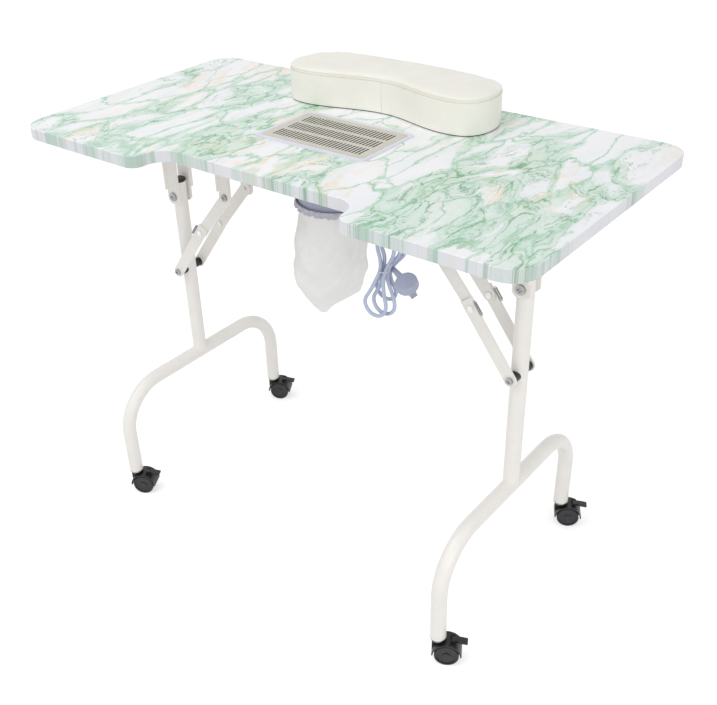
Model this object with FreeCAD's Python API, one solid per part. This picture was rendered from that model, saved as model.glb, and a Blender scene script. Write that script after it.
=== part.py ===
import FreeCAD, Part
import math
import os

# Folding manicure table: marbled top with a built-in dust fan, wrist rest and two folding caster legs.
# Millimetres. +Z up, the nail technician sits at the recessed -Y edge, origin on the floor under the
# middle of the top.

# ---- driving dimensions -------------------------------------------------------------------------
TOP_LENGTH = 900.0
TOP_DEPTH = 465.0
TOP_HEIGHT = 700.0
TOP_THICK = 18.0
TOP_CORNER = 40.0
TOP_EDGE_ROUND = 1.0

RECESS_WIDTH = 368.0
RECESS_DEPTH = 54.0
RECESS_MOUTH_RADIUS = 20.0
RECESS_FLOOR_RADIUS = 32.0

BEZEL_LENGTH = 203.0
BEZEL_DEPTH = 131.0
BEZEL_CORNER = 9.0
BEZEL_THICK = 2.0
BEZEL_WALL = 2.0
BEZEL_LEDGE = 5.0
BEZEL_LEDGE_THICK = 2.0
BEZEL_SKIRT = 20.0

GRILLE_LENGTH = 190.0
GRILLE_DEPTH = 113.0
GRILLE_CORNER = 6.0
GRILLE_THICK = 2.4
SLOT_ROWS = 3
SLOTS_PER_ROW = 28
SLOT_WIDTH = 2.4
SLOT_LENGTH = 25.0
SLOT_FIELD_LENGTH = 162.0
SLOT_FIELD_DEPTH = 91.0

FAN_SIZE = 119.0
FAN_THICK = 25.0
FAN_HOLE_SPACING = 105.0
FAN_BORE_RADIUS = 56.0
FAN_HUB_RADIUS = 20.0
FAN_BLADES = 7
FAN_SHAFT_RADIUS = 2.0
FAN_STRUTS = 4
FAN_STRUT_WIDTH = 4.0
FAN_STRUT_THICK = 2.5
FAN_BEARING_WALL = 2.0
FAN_BEARING_HEIGHT = 16.0
STATOR_RADIUS = 14.0
STATOR_HEIGHT = 10.0
STATOR_RING = 3.0
STATOR_SLOT = 2.0
ROTOR_LIFT = 4.5
ROTOR_TOP_GAP = 2.0
ROTOR_HUB_WALL = 2.5
BLADE_GAP = 1.5
FAN_BLADE_THICK = 2.0
FAN_BLADE_PITCH = 50.0

HOUSING_WALL = 2.2
HOUSING_MARGIN = 2.3
HOUSING_DEPTH = 42.0
HOUSING_FLANGE = 12.0
COLLAR_RADIUS = 59.0
COLLAR_BOTTOM = 597.0
COLLAR_LIP = 1.5
FAN_BOSS_RADIUS = 5.0
FAN_BOSS_HEIGHT = 9.0
FAN_BOSS_FLOOR = 2.0

SWITCH_Y = 22.0
SWITCH_HEIGHT = 21.0
SWITCH_WIDTH = 15.0
SWITCH_RIM = 2.0
SWITCH_DEEP = 14.0
ROCKER_PIN = 1.2
ROCKER_INSET = 1.0
ROCKER_BACK = 2.5
ROCKER_LOW = 3.0
ROCKER_MIDDLE = 3.5
ROCKER_HIGH = 6.0
GLAND_BODY_RADIUS = 5.0
GLAND_NUT_RADIUS = 8.0
GLAND_NUT_THICK = 4.0
GLAND_TAIL = 5.0
GLAND_LOCK_THICK = 3.0

BAG_RADIUS = 61.0
BAG_LENGTH = 196.0
BAG_LEAN_X = -18.0
BAG_LEAN_Y = -15.0
BAG_MOUTH_HEIGHT = 9.0
BAG_CLOTH = 2.5
ELASTIC_THICK = 2.0

REST_LENGTH = 370.0
REST_FRONT = 93.0
REST_WAIST = 118.0
REST_BACK = 214.0
REST_HEIGHT = 60.0
REST_BOARD = 5.0
REST_BOARD_INSET = 1.5
REST_EDGE_ROUND = 6.0

LEG_X = 341.0
LEG_Y = -15.0
TUBE_RADIUS = 12.5
TUBE_WALL = 1.2
HINGE_HEIGHT = {"left": 534.0, "right": 561.0}
TUBE_ABOVE_HINGE = 25.0
FOOT_HALF_SPAN = 195.0
FOOT_TOP = 213.0
FOOT_BEND = 82.0
FOOT_CLEAR = 10.0
CAP_THICK = 5.0
CAP_PLUG = 8.0

HINGE_PLATE_WIDTH = 28.0
HINGE_PLATE_THICK = 2.5
HINGE_PLATE_BELOW = 14.0
HINGE_FLANGE = 5.0
HINGE_FLANGE_CLEAR = 4.0
HINGE_BASE = 3.0
HINGE_FOOT = 22.0
HINGE_CHAMFER = 0.45
HINGE_BOLT_RADIUS = 4.0

STAY_REACH = 139.5
STAY_RISE = 35.0
STAY_DROP = 141.0
LOWER_STAY = 117.0
KNUCKLE_BEND = 4.0
STAY_TAIL = 15.0
STAY_WIDTH = 20.0
STAY_THICK = 3.0
STAY_PLATE_WIDTH = 26.0
STAY_PLATE_THICK = 2.5
STAY_PLATE_BELOW = 12.0
STAY_BOLT_RADIUS = 3.0
RIVET_RADIUS = 3.0
RIVET_HEAD_RADIUS = 5.1
RIVET_HEAD_THICK = 1.6
SPACER_RADIUS = 8.0
SPACER_LENGTH = 12.0
SPRING_RADIUS = 2.5
SPRING_LENGTH = 26.0
SPRING_RISE = 9.0

CASTER_TURN = 30.0
CASTER_TRAIL = 14.0
WHEEL_RADIUS = 19.0
WHEEL_WIDTH = 10.0
WHEEL_BORE = 2.5
WHEEL_EDGE_ROUND = 1.5
WHEEL_RIM = 3.5
WHEEL_HUB_RADIUS = 6.0
WHEEL_DISH = 1.2
HOOD_WEB = 10.0
HOOD_COVER = 2.2
HOOD_GAP = 1.8
HOOD_BOSS_RADIUS = 9.0
HOOD_WEB_RIM = 4.0
STEM_RADIUS = 3.5
STEM_COLLAR = 2.5
STEM_PLUG = 24.0
STEM_REACH = 9.0
BRAKE_OFFSET = 9.0
BRAKE_REACH = 22.5
BRAKE_WIDTH = 12.0
BRAKE_THICK = 4.0
BRAKE_DROOP = 8.8
BRAKE_KNOB_RADIUS = 2.4
BRAKE_NECK = 6.5
BRAKE_PIN_RADIUS = 1.5
BRAKE_EAR_THICK = 2.2
BRAKE_EAR_HALF = 3.0

SCREW_RADIUS = 2.0
SCREW_HEAD_RADIUS = 4.2
SCREW_HEAD_THICK = 2.4
SCREW_DEPTH = 13.0
BOLT_HEAD_THICK = 3.6
BOLT_HEAD_SPREAD = 1.9
NUT_SPREAD = 1.7
NUT_THICK = 5.0
BOLT_TAIL = 6.0
CROSS_DEPTH = 0.4
CROSS_ARM = 0.55
CROSS_HALF_WIDTH = 0.18

CORD_RADIUS = 2.8
CORD_ROUTE = [
    (111.0, -35.0, 661.0),
    (127.0, -35.0, 661.0),
    (143.0, -40.0, 662.0),
    (155.0, -51.0, 663.0),
    (164.0, -65.0, 661.0),
    (170.0, -80.0, 656.0),
    (175.0, -92.0, 646.0),
    (177.0, -99.0, 631.0),
    (177.0, -99.0, 616.0),
]
HANK_X = 167.0
HANK_Y = -100.0
HANK_TOP = 616.0
HANK_WAIST = 566.0
HANK_BOTTOM = 487.0
HANK_LEAN = 0.2
HANK_TOP_HALF = 16.0
HANK_WAIST_HALF = 8.5
HANK_BOTTOM_HALF = 21.5
HANK_THICK_HALF = 8.0
HANK_TOP_TAPER = 16.0
HANK_BOTTOM_TAPER = 22.0
TIE_WIDTH = 4.0
TIE_THICK = 1.5
PLUG_CENTRE = (211.0, -112.0, 565.5)
PLUG_TILT = 30.0
PLUG_RADIUS = 16.0
PLUG_THICK = 14.0
PLUG_EDGE_ROUND = 3.0
RELIEF_TURN = 26.0
RELIEF_LENGTH = 18.0
RELIEF_WALL = 0.8
RELIEF_ROOT_RADIUS = 5.5
BLADE_SPACING = 12.7
BLADE_LENGTH = 14.0
BLADE_WIDTH = 6.2
BLADE_THICK = 1.5
CAP_WALL = 1.5

FIT = 0.05
SIDE_PLAY = 0.3
CUT_PAST = 1.0
CUT_ACROSS = 50.0

# ---- derived places -----------------------------------------------------------------------------
TOP_UNDER = TOP_HEIGHT - TOP_THICK
HOUSING_BOTTOM = TOP_UNDER - HOUSING_DEPTH
HOUSING_LENGTH = GRILLE_LENGTH + 2 * (BEZEL_WALL + HOUSING_MARGIN + HOUSING_WALL)
HOUSING_WIDTH = FAN_SIZE + 2 * (HOUSING_MARGIN + HOUSING_WALL)
HOUSING_SIDE = HOUSING_LENGTH / 2
FAN_BASE = HOUSING_BOTTOM + HOUSING_WALL
PORT_HEIGHT = CORD_ROUTE[0][2]
TUBE_BORE = TUBE_RADIUS - TUBE_WALL
FOOT_END = 2 * WHEEL_RADIUS + FOOT_CLEAR
SPACER_END = TUBE_RADIUS + SPACER_LENGTH
LOWER_NEAR = SPACER_END + SIDE_PLAY
LOWER_FAR = LOWER_NEAR + STAY_THICK
UPPER_FAR = LOWER_NEAR - SIDE_PLAY
UPPER_NEAR = UPPER_FAR - STAY_THICK
PLATE_NEAR = UPPER_FAR + SIDE_PLAY
PLATE_FAR = PLATE_NEAR + STAY_PLATE_THICK
HINGE_NEAR = TUBE_RADIUS + SIDE_PLAY
HINGE_FAR = HINGE_NEAR + HINGE_PLATE_THICK
STEM_TIP = WHEEL_RADIUS + STEM_REACH
HOOD_INSIDE = WHEEL_RADIUS + HOOD_GAP
HOOD_OUTSIDE = HOOD_INSIDE + HOOD_COVER
UP = FreeCAD.Vector(0, 0, 1)
ALONG_X = FreeCAD.Vector(1, 0, 0)
ALONG_Y = FreeCAD.Vector(0, 1, 0)
ORIGIN = FreeCAD.Vector(0, 0, 0)


def vec(x, y, z):
    return FreeCAD.Vector(x, y, z)


def block(x0, x1, y0, y1, z0, z1):
    return Part.makeBox(x1 - x0, y1 - y0, z1 - z0, vec(x0, y0, z0))


def rod(radius, start, length, axis=UP):
    return Part.makeCylinder(radius, length, start, axis)


def ring(outer, inner, start, length, axis=UP):
    return rod(outer, start, length, axis).cut(
        rod(inner, start - axis * CUT_PAST, length + 2 * CUT_PAST, axis)
    )


def fuse(shapes):
    joined = shapes[0].multiFuse(shapes[1:]) if len(shapes) > 1 else shapes[0]
    return joined.removeSplitter()


def rounded_block(length, depth, corner, z0, z1):
    """A block centred on the Z axis with rounded vertical edges."""
    body = block(-length / 2, length / 2, -depth / 2, depth / 2, z0, z1)
    upright = [edge for edge in body.Edges if abs(edge.tangentAt(edge.FirstParameter).z) > 0.9]
    return body.makeFillet(corner, upright)


def tangent_path(points, radii):
    """Straight runs joined by tangent arcs, one radius per inner point."""
    corners = [vec(*point) for point in points]
    edges = []
    start = corners[0]
    for here, before, after, radius in zip(corners[1:-1], corners, corners[2:], radii):
        back = (before - here).normalize()
        ahead = (after - here).normalize()
        half_turn = (math.pi - back.getAngle(ahead)) / 2
        reach = radius * math.tan(half_turn)
        enter = here + back * reach
        leave = here + ahead * reach
        to_centre = (back + ahead).normalize()
        centre = here + to_centre * (radius / math.cos(half_turn))
        edges.append(Part.LineSegment(start, enter).toShape())
        edges.append(Part.Arc(enter, centre - to_centre * radius, leave).toShape())
        start = leave
    edges.append(Part.LineSegment(start, corners[-1]).toShape())
    return Part.Wire(edges)


def sweep_round(path, radius):
    start = path.Edges[0]
    at = start.valueAt(start.FirstParameter)
    along = start.tangentAt(start.FirstParameter)
    profile = Part.Wire([Part.Circle(at, along, radius).toShape()])
    return path.makePipeShell([profile], True, True)


# ---- the top ------------------------------------------------------------------------------------
def arc_about(centre_x, centre_y, radius, start_angle, end_angle):
    def point(angle):
        turned = math.radians(angle)
        return vec(centre_x + radius * math.cos(turned), centre_y + radius * math.sin(turned), 0)
    middle = (start_angle + end_angle) / 2
    return Part.Arc(point(start_angle), point(middle), point(end_angle)).toShape()


def top_outline():
    """Rounded rectangle with a shallow knee recess in the front edge."""
    half_l = TOP_LENGTH / 2
    half_d = TOP_DEPTH / 2
    side = RECESS_WIDTH / 2
    floor = RECESS_DEPTH - half_d
    arcs = [
        arc_about(half_l - TOP_CORNER, half_d - TOP_CORNER, TOP_CORNER, 0, 90),
        arc_about(-half_l + TOP_CORNER, half_d - TOP_CORNER, TOP_CORNER, 90, 180),
        arc_about(-half_l + TOP_CORNER, -half_d + TOP_CORNER, TOP_CORNER, 180, 270),
        arc_about(-side - RECESS_MOUTH_RADIUS, -half_d + RECESS_MOUTH_RADIUS,
                  RECESS_MOUTH_RADIUS, 270, 360),
        arc_about(-side + RECESS_FLOOR_RADIUS, floor - RECESS_FLOOR_RADIUS,
                  RECESS_FLOOR_RADIUS, 180, 90),
        arc_about(side - RECESS_FLOOR_RADIUS, floor - RECESS_FLOOR_RADIUS,
                  RECESS_FLOOR_RADIUS, 90, 0),
        arc_about(side + RECESS_MOUTH_RADIUS, -half_d + RECESS_MOUTH_RADIUS,
                  RECESS_MOUTH_RADIUS, 180, 270),
        arc_about(half_l - TOP_CORNER, -half_d + TOP_CORNER, TOP_CORNER, 270, 360),
    ]
    edges = []
    for arc, following in zip(arcs, arcs[1:] + arcs[:1]):
        edges.append(arc)
        leave = arc.valueAt(arc.LastParameter)
        enter = following.valueAt(following.FirstParameter)
        if (enter - leave).Length > 1e-6:
            edges.append(Part.LineSegment(leave, enter).toShape())
    return Part.Wire(edges)


def make_table_top():
    outline = top_outline()
    outline.translate(vec(0, 0, TOP_UNDER))
    slab = Part.Face(outline).extrude(vec(0, 0, TOP_THICK))
    rim = [
        edge for edge in slab.Edges
        if abs(edge.BoundBox.ZMin - edge.BoundBox.ZMax) < 1e-6
    ]
    slab = slab.makeFillet(TOP_EDGE_ROUND, rim)
    opening = rounded_block(
        GRILLE_LENGTH + 2 * (BEZEL_WALL + 2 * SIDE_PLAY),
        GRILLE_DEPTH + 2 * (BEZEL_WALL + 2 * SIDE_PLAY),
        GRILLE_CORNER + BEZEL_WALL, TOP_UNDER - CUT_PAST, TOP_HEIGHT + CUT_PAST,
    )
    pilots = [
        rod(SCREW_RADIUS + FIT, vec(x, y, TOP_UNDER - CUT_PAST), SCREW_DEPTH + CUT_PAST)
        for x, y in housing_screw_places() + bracket_screw_places()
    ]
    return slab.cut([opening] + pilots)


# ---- fan unit -----------------------------------------------------------------------------------
def make_bezel():
    """Frame let into the top: a flat rim, a ledge that carries the grille and a short skirt."""
    face = TOP_HEIGHT + BEZEL_THICK
    under = TOP_HEIGHT - BEZEL_SKIRT
    rim = rounded_block(BEZEL_LENGTH, BEZEL_DEPTH, BEZEL_CORNER, TOP_HEIGHT, face)
    skirt = rounded_block(
        GRILLE_LENGTH + 2 * (BEZEL_WALL + SIDE_PLAY), GRILLE_DEPTH + 2 * (BEZEL_WALL + SIDE_PLAY),
        GRILLE_CORNER + BEZEL_WALL, under, TOP_HEIGHT,
    )
    pocket = rounded_block(
        GRILLE_LENGTH + 2 * SIDE_PLAY, GRILLE_DEPTH + 2 * SIDE_PLAY, GRILLE_CORNER + SIDE_PLAY,
        grille_base(), face + CUT_PAST,
    )
    below = rounded_block(
        GRILLE_LENGTH + 2 * SIDE_PLAY, GRILLE_DEPTH + 2 * SIDE_PLAY, GRILLE_CORNER + SIDE_PLAY,
        under - CUT_PAST, grille_base() - BEZEL_LEDGE_THICK,
    )
    mouth = rounded_block(
        GRILLE_LENGTH - 2 * BEZEL_LEDGE, GRILLE_DEPTH - 2 * BEZEL_LEDGE, GRILLE_CORNER,
        under - CUT_PAST, face + CUT_PAST,
    )
    return fuse([rim, skirt]).cut([pocket, below, mouth])


def grille_base():
    return TOP_HEIGHT + BEZEL_THICK - GRILLE_THICK


def make_grille():
    plate = rounded_block(
        GRILLE_LENGTH, GRILLE_DEPTH, GRILLE_CORNER, grille_base(), grille_base() + GRILLE_THICK
    )
    pitch_x = (SLOT_FIELD_LENGTH - SLOT_WIDTH) / (SLOTS_PER_ROW - 1)
    pitch_y = (SLOT_FIELD_DEPTH - SLOT_LENGTH) / (SLOT_ROWS - 1)
    slots = []
    for row in range(SLOT_ROWS):
        y = (row - (SLOT_ROWS - 1) / 2) * pitch_y
        for place in range(SLOTS_PER_ROW):
            x = (place - (SLOTS_PER_ROW - 1) / 2) * pitch_x
            slots.append(block(
                x - SLOT_WIDTH / 2, x + SLOT_WIDTH / 2, y - SLOT_LENGTH / 2, y + SLOT_LENGTH / 2,
                grille_base() - CUT_PAST, grille_base() + GRILLE_THICK + CUT_PAST,
            ))
    return plate.cut(Part.makeCompound(slots))


def fan_screw_places():
    half = FAN_HOLE_SPACING / 2
    return [(x, y) for x in (-half, half) for y in (-half, half)]


def housing_screw_places():
    x = HOUSING_SIDE + HOUSING_FLANGE / 2
    y = HOUSING_WIDTH / 2 - HOUSING_FLANGE
    return [(side * x, place * y) for side in (-1, 1) for place in (-1, 1)]


def make_housing():
    """Fan box hung under the top, with a round outlet collar that the dust bag slips over."""
    box = rounded_block(HOUSING_LENGTH, HOUSING_WIDTH, GRILLE_CORNER, HOUSING_BOTTOM, TOP_UNDER)
    flange = rounded_block(
        HOUSING_LENGTH + 2 * HOUSING_FLANGE, HOUSING_WIDTH, GRILLE_CORNER,
        TOP_UNDER - HOUSING_WALL, TOP_UNDER,
    )
    collar = rod(COLLAR_RADIUS, vec(0, 0, COLLAR_BOTTOM), HOUSING_BOTTOM - COLLAR_BOTTOM + CUT_PAST)
    lip = rod(COLLAR_RADIUS + COLLAR_LIP, vec(0, 0, COLLAR_BOTTOM), 2 * COLLAR_LIP)
    bosses = [
        rod(FAN_BOSS_RADIUS, vec(x, y, HOUSING_BOTTOM - FAN_BOSS_HEIGHT), FAN_BOSS_HEIGHT + CUT_PAST)
        for x, y in fan_screw_places()
    ]
    hollow = rounded_block(
        HOUSING_LENGTH - 2 * HOUSING_WALL, HOUSING_WIDTH - 2 * HOUSING_WALL,
        GRILLE_CORNER - HOUSING_WALL, FAN_BASE, TOP_UNDER + CUT_PAST,
    )
    outlet = rod(
        COLLAR_RADIUS - HOUSING_WALL, vec(0, 0, COLLAR_BOTTOM - CUT_PAST),
        FAN_BASE - COLLAR_BOTTOM + 2 * CUT_PAST,
    )
    fan_holes = [
        rod(SCREW_RADIUS + FIT, vec(x, y, HOUSING_BOTTOM - FAN_BOSS_HEIGHT + FAN_BOSS_FLOOR),
            FAN_BOSS_HEIGHT + HOUSING_WALL)
        for x, y in fan_screw_places()
    ]
    flange_holes = [
        rod(SCREW_RADIUS + FIT, vec(x, y, TOP_UNDER - HOUSING_WALL - CUT_PAST),
            HOUSING_WALL + 2 * CUT_PAST)
        for x, y in housing_screw_places()
    ]
    inside = HOUSING_SIDE - HOUSING_WALL - CUT_PAST
    switch_hole = block(
        inside, HOUSING_SIDE + CUT_PAST,
        SWITCH_Y - SWITCH_HEIGHT / 2 - FIT, SWITCH_Y + SWITCH_HEIGHT / 2 + FIT,
        PORT_HEIGHT - SWITCH_WIDTH / 2 - FIT, PORT_HEIGHT + SWITCH_WIDTH / 2 + FIT,
    )
    gland_hole = rod(
        GLAND_BODY_RADIUS + FIT, vec(inside, CORD_ROUTE[0][1], PORT_HEIGHT),
        HOUSING_WALL + 2 * CUT_PAST, ALONG_X,
    )
    shell = fuse([box, flange, collar, lip] + bosses)
    return shell.cut([hollow, outlet, switch_hole, gland_hole] + fan_holes + flange_holes)


def make_fan_frame():
    """Square frame with a round duct, motor seat and struts at the outlet side."""
    frame = block(
        -FAN_SIZE / 2, FAN_SIZE / 2, -FAN_SIZE / 2, FAN_SIZE / 2, FAN_BASE, FAN_BASE + FAN_THICK
    )
    duct = rod(FAN_BORE_RADIUS, vec(0, 0, FAN_BASE - CUT_PAST), FAN_THICK + 2 * CUT_PAST)
    seat = rod(FAN_HUB_RADIUS, vec(0, 0, FAN_BASE), FAN_STRUT_THICK)
    bearing = rod(FAN_SHAFT_RADIUS + FAN_BEARING_WALL, vec(0, 0, FAN_BASE), FAN_BEARING_HEIGHT)
    struts = []
    for turn in range(FAN_STRUTS):
        strut = block(0, FAN_BORE_RADIUS + CUT_PAST, -FAN_STRUT_WIDTH / 2, FAN_STRUT_WIDTH / 2,
                      FAN_BASE, FAN_BASE + FAN_STRUT_THICK)
        strut.rotate(ORIGIN, UP, (turn + 0.5) * 360 / FAN_STRUTS)
        struts.append(strut)
    holes = [
        rod(SCREW_RADIUS + FIT, vec(x, y, FAN_BASE - CUT_PAST), FAN_THICK + 2 * CUT_PAST)
        for x, y in fan_screw_places()
    ]
    bore = rod(FAN_SHAFT_RADIUS + FIT, vec(0, 0, FAN_BASE - CUT_PAST), FAN_BEARING_HEIGHT + 2 * CUT_PAST)
    return fuse([frame.cut(duct), seat, bearing] + struts).cut(holes + [bore])


def make_fan_stator():
    """Wound core pressed round the bearing tube."""
    inner = FAN_SHAFT_RADIUS + FAN_BEARING_WALL + FIT
    base = FAN_BASE + FAN_STRUT_THICK
    core = ring(STATOR_RADIUS, inner, vec(0, 0, base), STATOR_HEIGHT)
    gaps = []
    for turn in range(FAN_STRUTS):
        gap = block(inner + STATOR_RING, FAN_HUB_RADIUS, -STATOR_SLOT / 2, STATOR_SLOT / 2,
                    base - CUT_PAST, base + STATOR_HEIGHT + CUT_PAST)
        gap.rotate(ORIGIN, UP, turn * 360 / FAN_STRUTS)
        gaps.append(gap)
    return core.cut(gaps)


def make_fan_rotor():
    """Hub cup with pitched blades, and the steel shaft pressed in it."""
    floor = FAN_BASE + ROTOR_LIFT
    roof = FAN_BASE + FAN_THICK - ROTOR_TOP_GAP
    cup = rod(FAN_HUB_RADIUS, vec(0, 0, floor), roof - floor)
    hollow = rod(FAN_HUB_RADIUS - ROTOR_HUB_WALL, vec(0, 0, floor - CUT_PAST),
                 roof - floor - ROTOR_HUB_WALL + CUT_PAST)
    tip = FAN_BORE_RADIUS - BLADE_GAP
    root = FAN_HUB_RADIUS - CUT_PAST
    keep = ring(tip, root, vec(0, 0, floor), roof - floor)
    blades = []
    for turn in range(FAN_BLADES):
        blade = block(root, tip - CUT_PAST, -FAN_BLADE_THICK / 2, FAN_BLADE_THICK / 2,
                      floor - FAN_THICK / 4, roof + FAN_THICK / 4)
        blade.rotate(vec(0, 0, (floor + roof) / 2), ALONG_X, FAN_BLADE_PITCH)
        blade.rotate(ORIGIN, UP, 360 / FAN_BLADES * turn)
        blades.append(blade.common(keep))
    shaft_top = roof - ROTOR_HUB_WALL / 2
    shaft_hole = rod(FAN_SHAFT_RADIUS + FIT / 2, vec(0, 0, floor), shaft_top + FIT - floor)
    shaft = rod(FAN_SHAFT_RADIUS, vec(0, 0, FAN_BASE + FIT), shaft_top - FAN_BASE - FIT)
    return [fuse([cup] + blades).cut([hollow, shaft_hole]), shaft]


def screw(radius, head_radius, head_thick, length, seat, axis):
    """Cross-recess screw: seat is the middle of the head's underside, axis points along the shank."""
    head = rod(head_radius, seat - axis * head_thick, head_thick, axis)
    shank = rod(radius, seat, length, axis)
    groove = CROSS_HALF_WIDTH * head_radius
    cross = []
    side = ALONG_X if abs(axis.x) < 0.5 else UP
    for way in (side, axis.cross(side)):
        arm = rod(groove, seat - axis * head_thick - way * CROSS_ARM * head_radius,
                  2 * CROSS_ARM * head_radius, way)
        arm.translate(axis * (CROSS_DEPTH * head_thick - groove))
        cross.append(arm)
    return fuse([head, shank]).cut(cross)


def make_fan_screws():
    return [
        screw(SCREW_RADIUS, SCREW_HEAD_RADIUS, SCREW_HEAD_THICK, FAN_THICK + FAN_BOSS_HEIGHT - 1,
              vec(x, y, FAN_BASE + FAN_THICK), -UP)
        for x, y in fan_screw_places()
    ]


def make_housing_screws():
    return [
        screw(SCREW_RADIUS, SCREW_HEAD_RADIUS, SCREW_HEAD_THICK, HOUSING_WALL + SCREW_DEPTH - 1,
              vec(x, y, TOP_UNDER - HOUSING_WALL), UP)
        for x, y in housing_screw_places()
    ]


def make_switch_body():
    half_y = SWITCH_HEIGHT / 2
    half_z = SWITCH_WIDTH / 2
    rim = block(
        HOUSING_SIDE, HOUSING_SIDE + SWITCH_RIM,
        SWITCH_Y - half_y - SWITCH_RIM, SWITCH_Y + half_y + SWITCH_RIM,
        PORT_HEIGHT - half_z - SWITCH_RIM, PORT_HEIGHT + half_z + SWITCH_RIM,
    )
    body = block(
        HOUSING_SIDE - SWITCH_DEEP, HOUSING_SIDE, SWITCH_Y - half_y, SWITCH_Y + half_y,
        PORT_HEIGHT - half_z, PORT_HEIGHT + half_z,
    )
    well = block(
        HOUSING_SIDE - SWITCH_DEEP + SWITCH_RIM, HOUSING_SIDE + SWITCH_RIM + CUT_PAST,
        SWITCH_Y - half_y + SWITCH_RIM, SWITCH_Y + half_y - SWITCH_RIM,
        PORT_HEIGHT - half_z + SWITCH_RIM, PORT_HEIGHT + half_z - SWITCH_RIM,
    )
    reach = rocker_pin_half() + SIDE_PLAY
    pin_hole = rod(ROCKER_PIN + FIT, vec(rocker_pivot_x(), SWITCH_Y, PORT_HEIGHT - reach), 2 * reach)
    return fuse([rim, body]).cut([well, pin_hole])


def rocker_pivot_x():
    return HOUSING_SIDE - ROCKER_INSET


def rocker_pin_half():
    return (SWITCH_WIDTH - SWITCH_RIM) / 2


def make_rocker():
    """Rocker cap, higher at one end, on a pin across the switch body."""
    half_y = SWITCH_HEIGHT / 2 - SWITCH_RIM - ROCKER_INSET
    half_z = SWITCH_WIDTH / 2 - SWITCH_RIM - SIDE_PLAY
    heel = half_y - SWITCH_RIM
    pivot = rocker_pivot_x()
    corners = [
        vec(pivot - ROCKER_BACK, SWITCH_Y - heel, 0), vec(pivot + ROCKER_LOW, SWITCH_Y - half_y, 0),
        vec(pivot + ROCKER_MIDDLE, SWITCH_Y, 0), vec(pivot + ROCKER_HIGH, SWITCH_Y + half_y, 0),
        vec(pivot - ROCKER_BACK, SWITCH_Y + heel, 0),
    ]
    outline = Part.makePolygon(corners + corners[:1])
    cap = Part.Face(outline).extrude(vec(0, 0, 2 * half_z))
    cap.translate(vec(0, 0, PORT_HEIGHT - half_z))
    reach = rocker_pin_half()
    pin = rod(ROCKER_PIN, vec(pivot, SWITCH_Y, PORT_HEIGHT - reach), 2 * reach)
    return fuse([cap, pin])


def make_gland():
    """Cord grip: a lock nut inside, a threaded body through the wall and a nut that holds the cord."""
    y = CORD_ROUTE[0][1]
    inside = HOUSING_SIDE - HOUSING_WALL
    tail = inside - GLAND_TAIL
    body = rod(GLAND_BODY_RADIUS, vec(tail, y, PORT_HEIGHT), CORD_ROUTE[0][0] - tail, ALONG_X)
    nut = rod(GLAND_NUT_RADIUS, vec(HOUSING_SIDE, y, PORT_HEIGHT), GLAND_NUT_THICK, ALONG_X)
    lock = rod(GLAND_NUT_RADIUS - HOUSING_WALL / 2, vec(inside - GLAND_LOCK_THICK, y, PORT_HEIGHT),
               GLAND_LOCK_THICK, ALONG_X)
    return fuse([body, nut, lock])


# ---- dust bag -----------------------------------------------------------------------------------
def mouth_radius():
    return COLLAR_RADIUS + COLLAR_LIP + SIDE_PLAY + ELASTIC_THICK


def make_bag():
    """Closed solid of the hanging bag: wide under the collar, narrowing to a blunt tip off to one side."""
    top = COLLAR_BOTTOM + BAG_MOUTH_HEIGHT
    rim = mouth_radius() + BAG_CLOTH
    shape = [(0.0, rim), (0.32, BAG_RADIUS), (0.62, 0.86 * BAG_RADIUS), (0.85, 0.52 * BAG_RADIUS),
             (1.0, 0.12 * BAG_RADIUS)]
    sections = []
    for drop, radius in shape:
        lean = drop ** 2
        centre = vec(BAG_LEAN_X * lean, BAG_LEAN_Y * lean, COLLAR_BOTTOM - drop * BAG_LENGTH)
        sections.append(Part.Wire([Part.Circle(centre, UP, radius).toShape()]))
    mouth = rod(rim, vec(0, 0, COLLAR_BOTTOM), BAG_MOUTH_HEIGHT)
    bag = fuse([Part.makeLoft(sections, True, False), mouth])
    return bag.cut(rod(mouth_radius() + FIT, vec(0, 0, COLLAR_BOTTOM - SIDE_PLAY), top))


def make_elastic():
    return ring(mouth_radius(), mouth_radius() - ELASTIC_THICK,
                vec(0, 0, COLLAR_BOTTOM + SIDE_PLAY), BAG_MOUTH_HEIGHT - 2 * SIDE_PLAY)


# ---- wrist rest ---------------------------------------------------------------------------------
def rest_outline(inset, z):
    """Kidney outline: waisted towards the recess, bowed towards the client."""
    half = REST_LENGTH / 2 - inset
    front = REST_FRONT + inset
    back = REST_BACK - inset
    middle = (REST_FRONT + REST_BACK) / 2
    right = [
        (0.36 * half, (REST_WAIST + REST_FRONT) / 2 + inset), (0.68 * half, front),
        (0.92 * half, front + 0.17 * (middle - front)), (half, middle - 6),
        (0.90 * half, back - 0.38 * (back - middle)), (0.60 * half, back - 0.10 * (back - middle)),
    ]
    points = [vec(0, REST_WAIST + inset, z)]
    points += [vec(x, y, z) for x, y in right]
    points += [vec(0, back, z)]
    points += [vec(-x, y, z) for x, y in reversed(right)]
    curve = Part.BSplineCurve()
    curve.interpolate(Points=points, PeriodicFlag=True)
    return Part.Wire([curve.toShape()])


def make_cushion():
    face = Part.Face(rest_outline(0, TOP_HEIGHT + REST_BOARD))
    pad = face.extrude(vec(0, 0, REST_HEIGHT - REST_BOARD))
    crown = [edge for edge in pad.Edges if edge.BoundBox.ZMin > TOP_HEIGHT + REST_HEIGHT - CUT_PAST]
    return pad.makeFillet(REST_EDGE_ROUND, crown)


def make_rest_board():
    return Part.Face(rest_outline(REST_BOARD_INSET, TOP_HEIGHT)).extrude(vec(0, 0, REST_BOARD))


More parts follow.
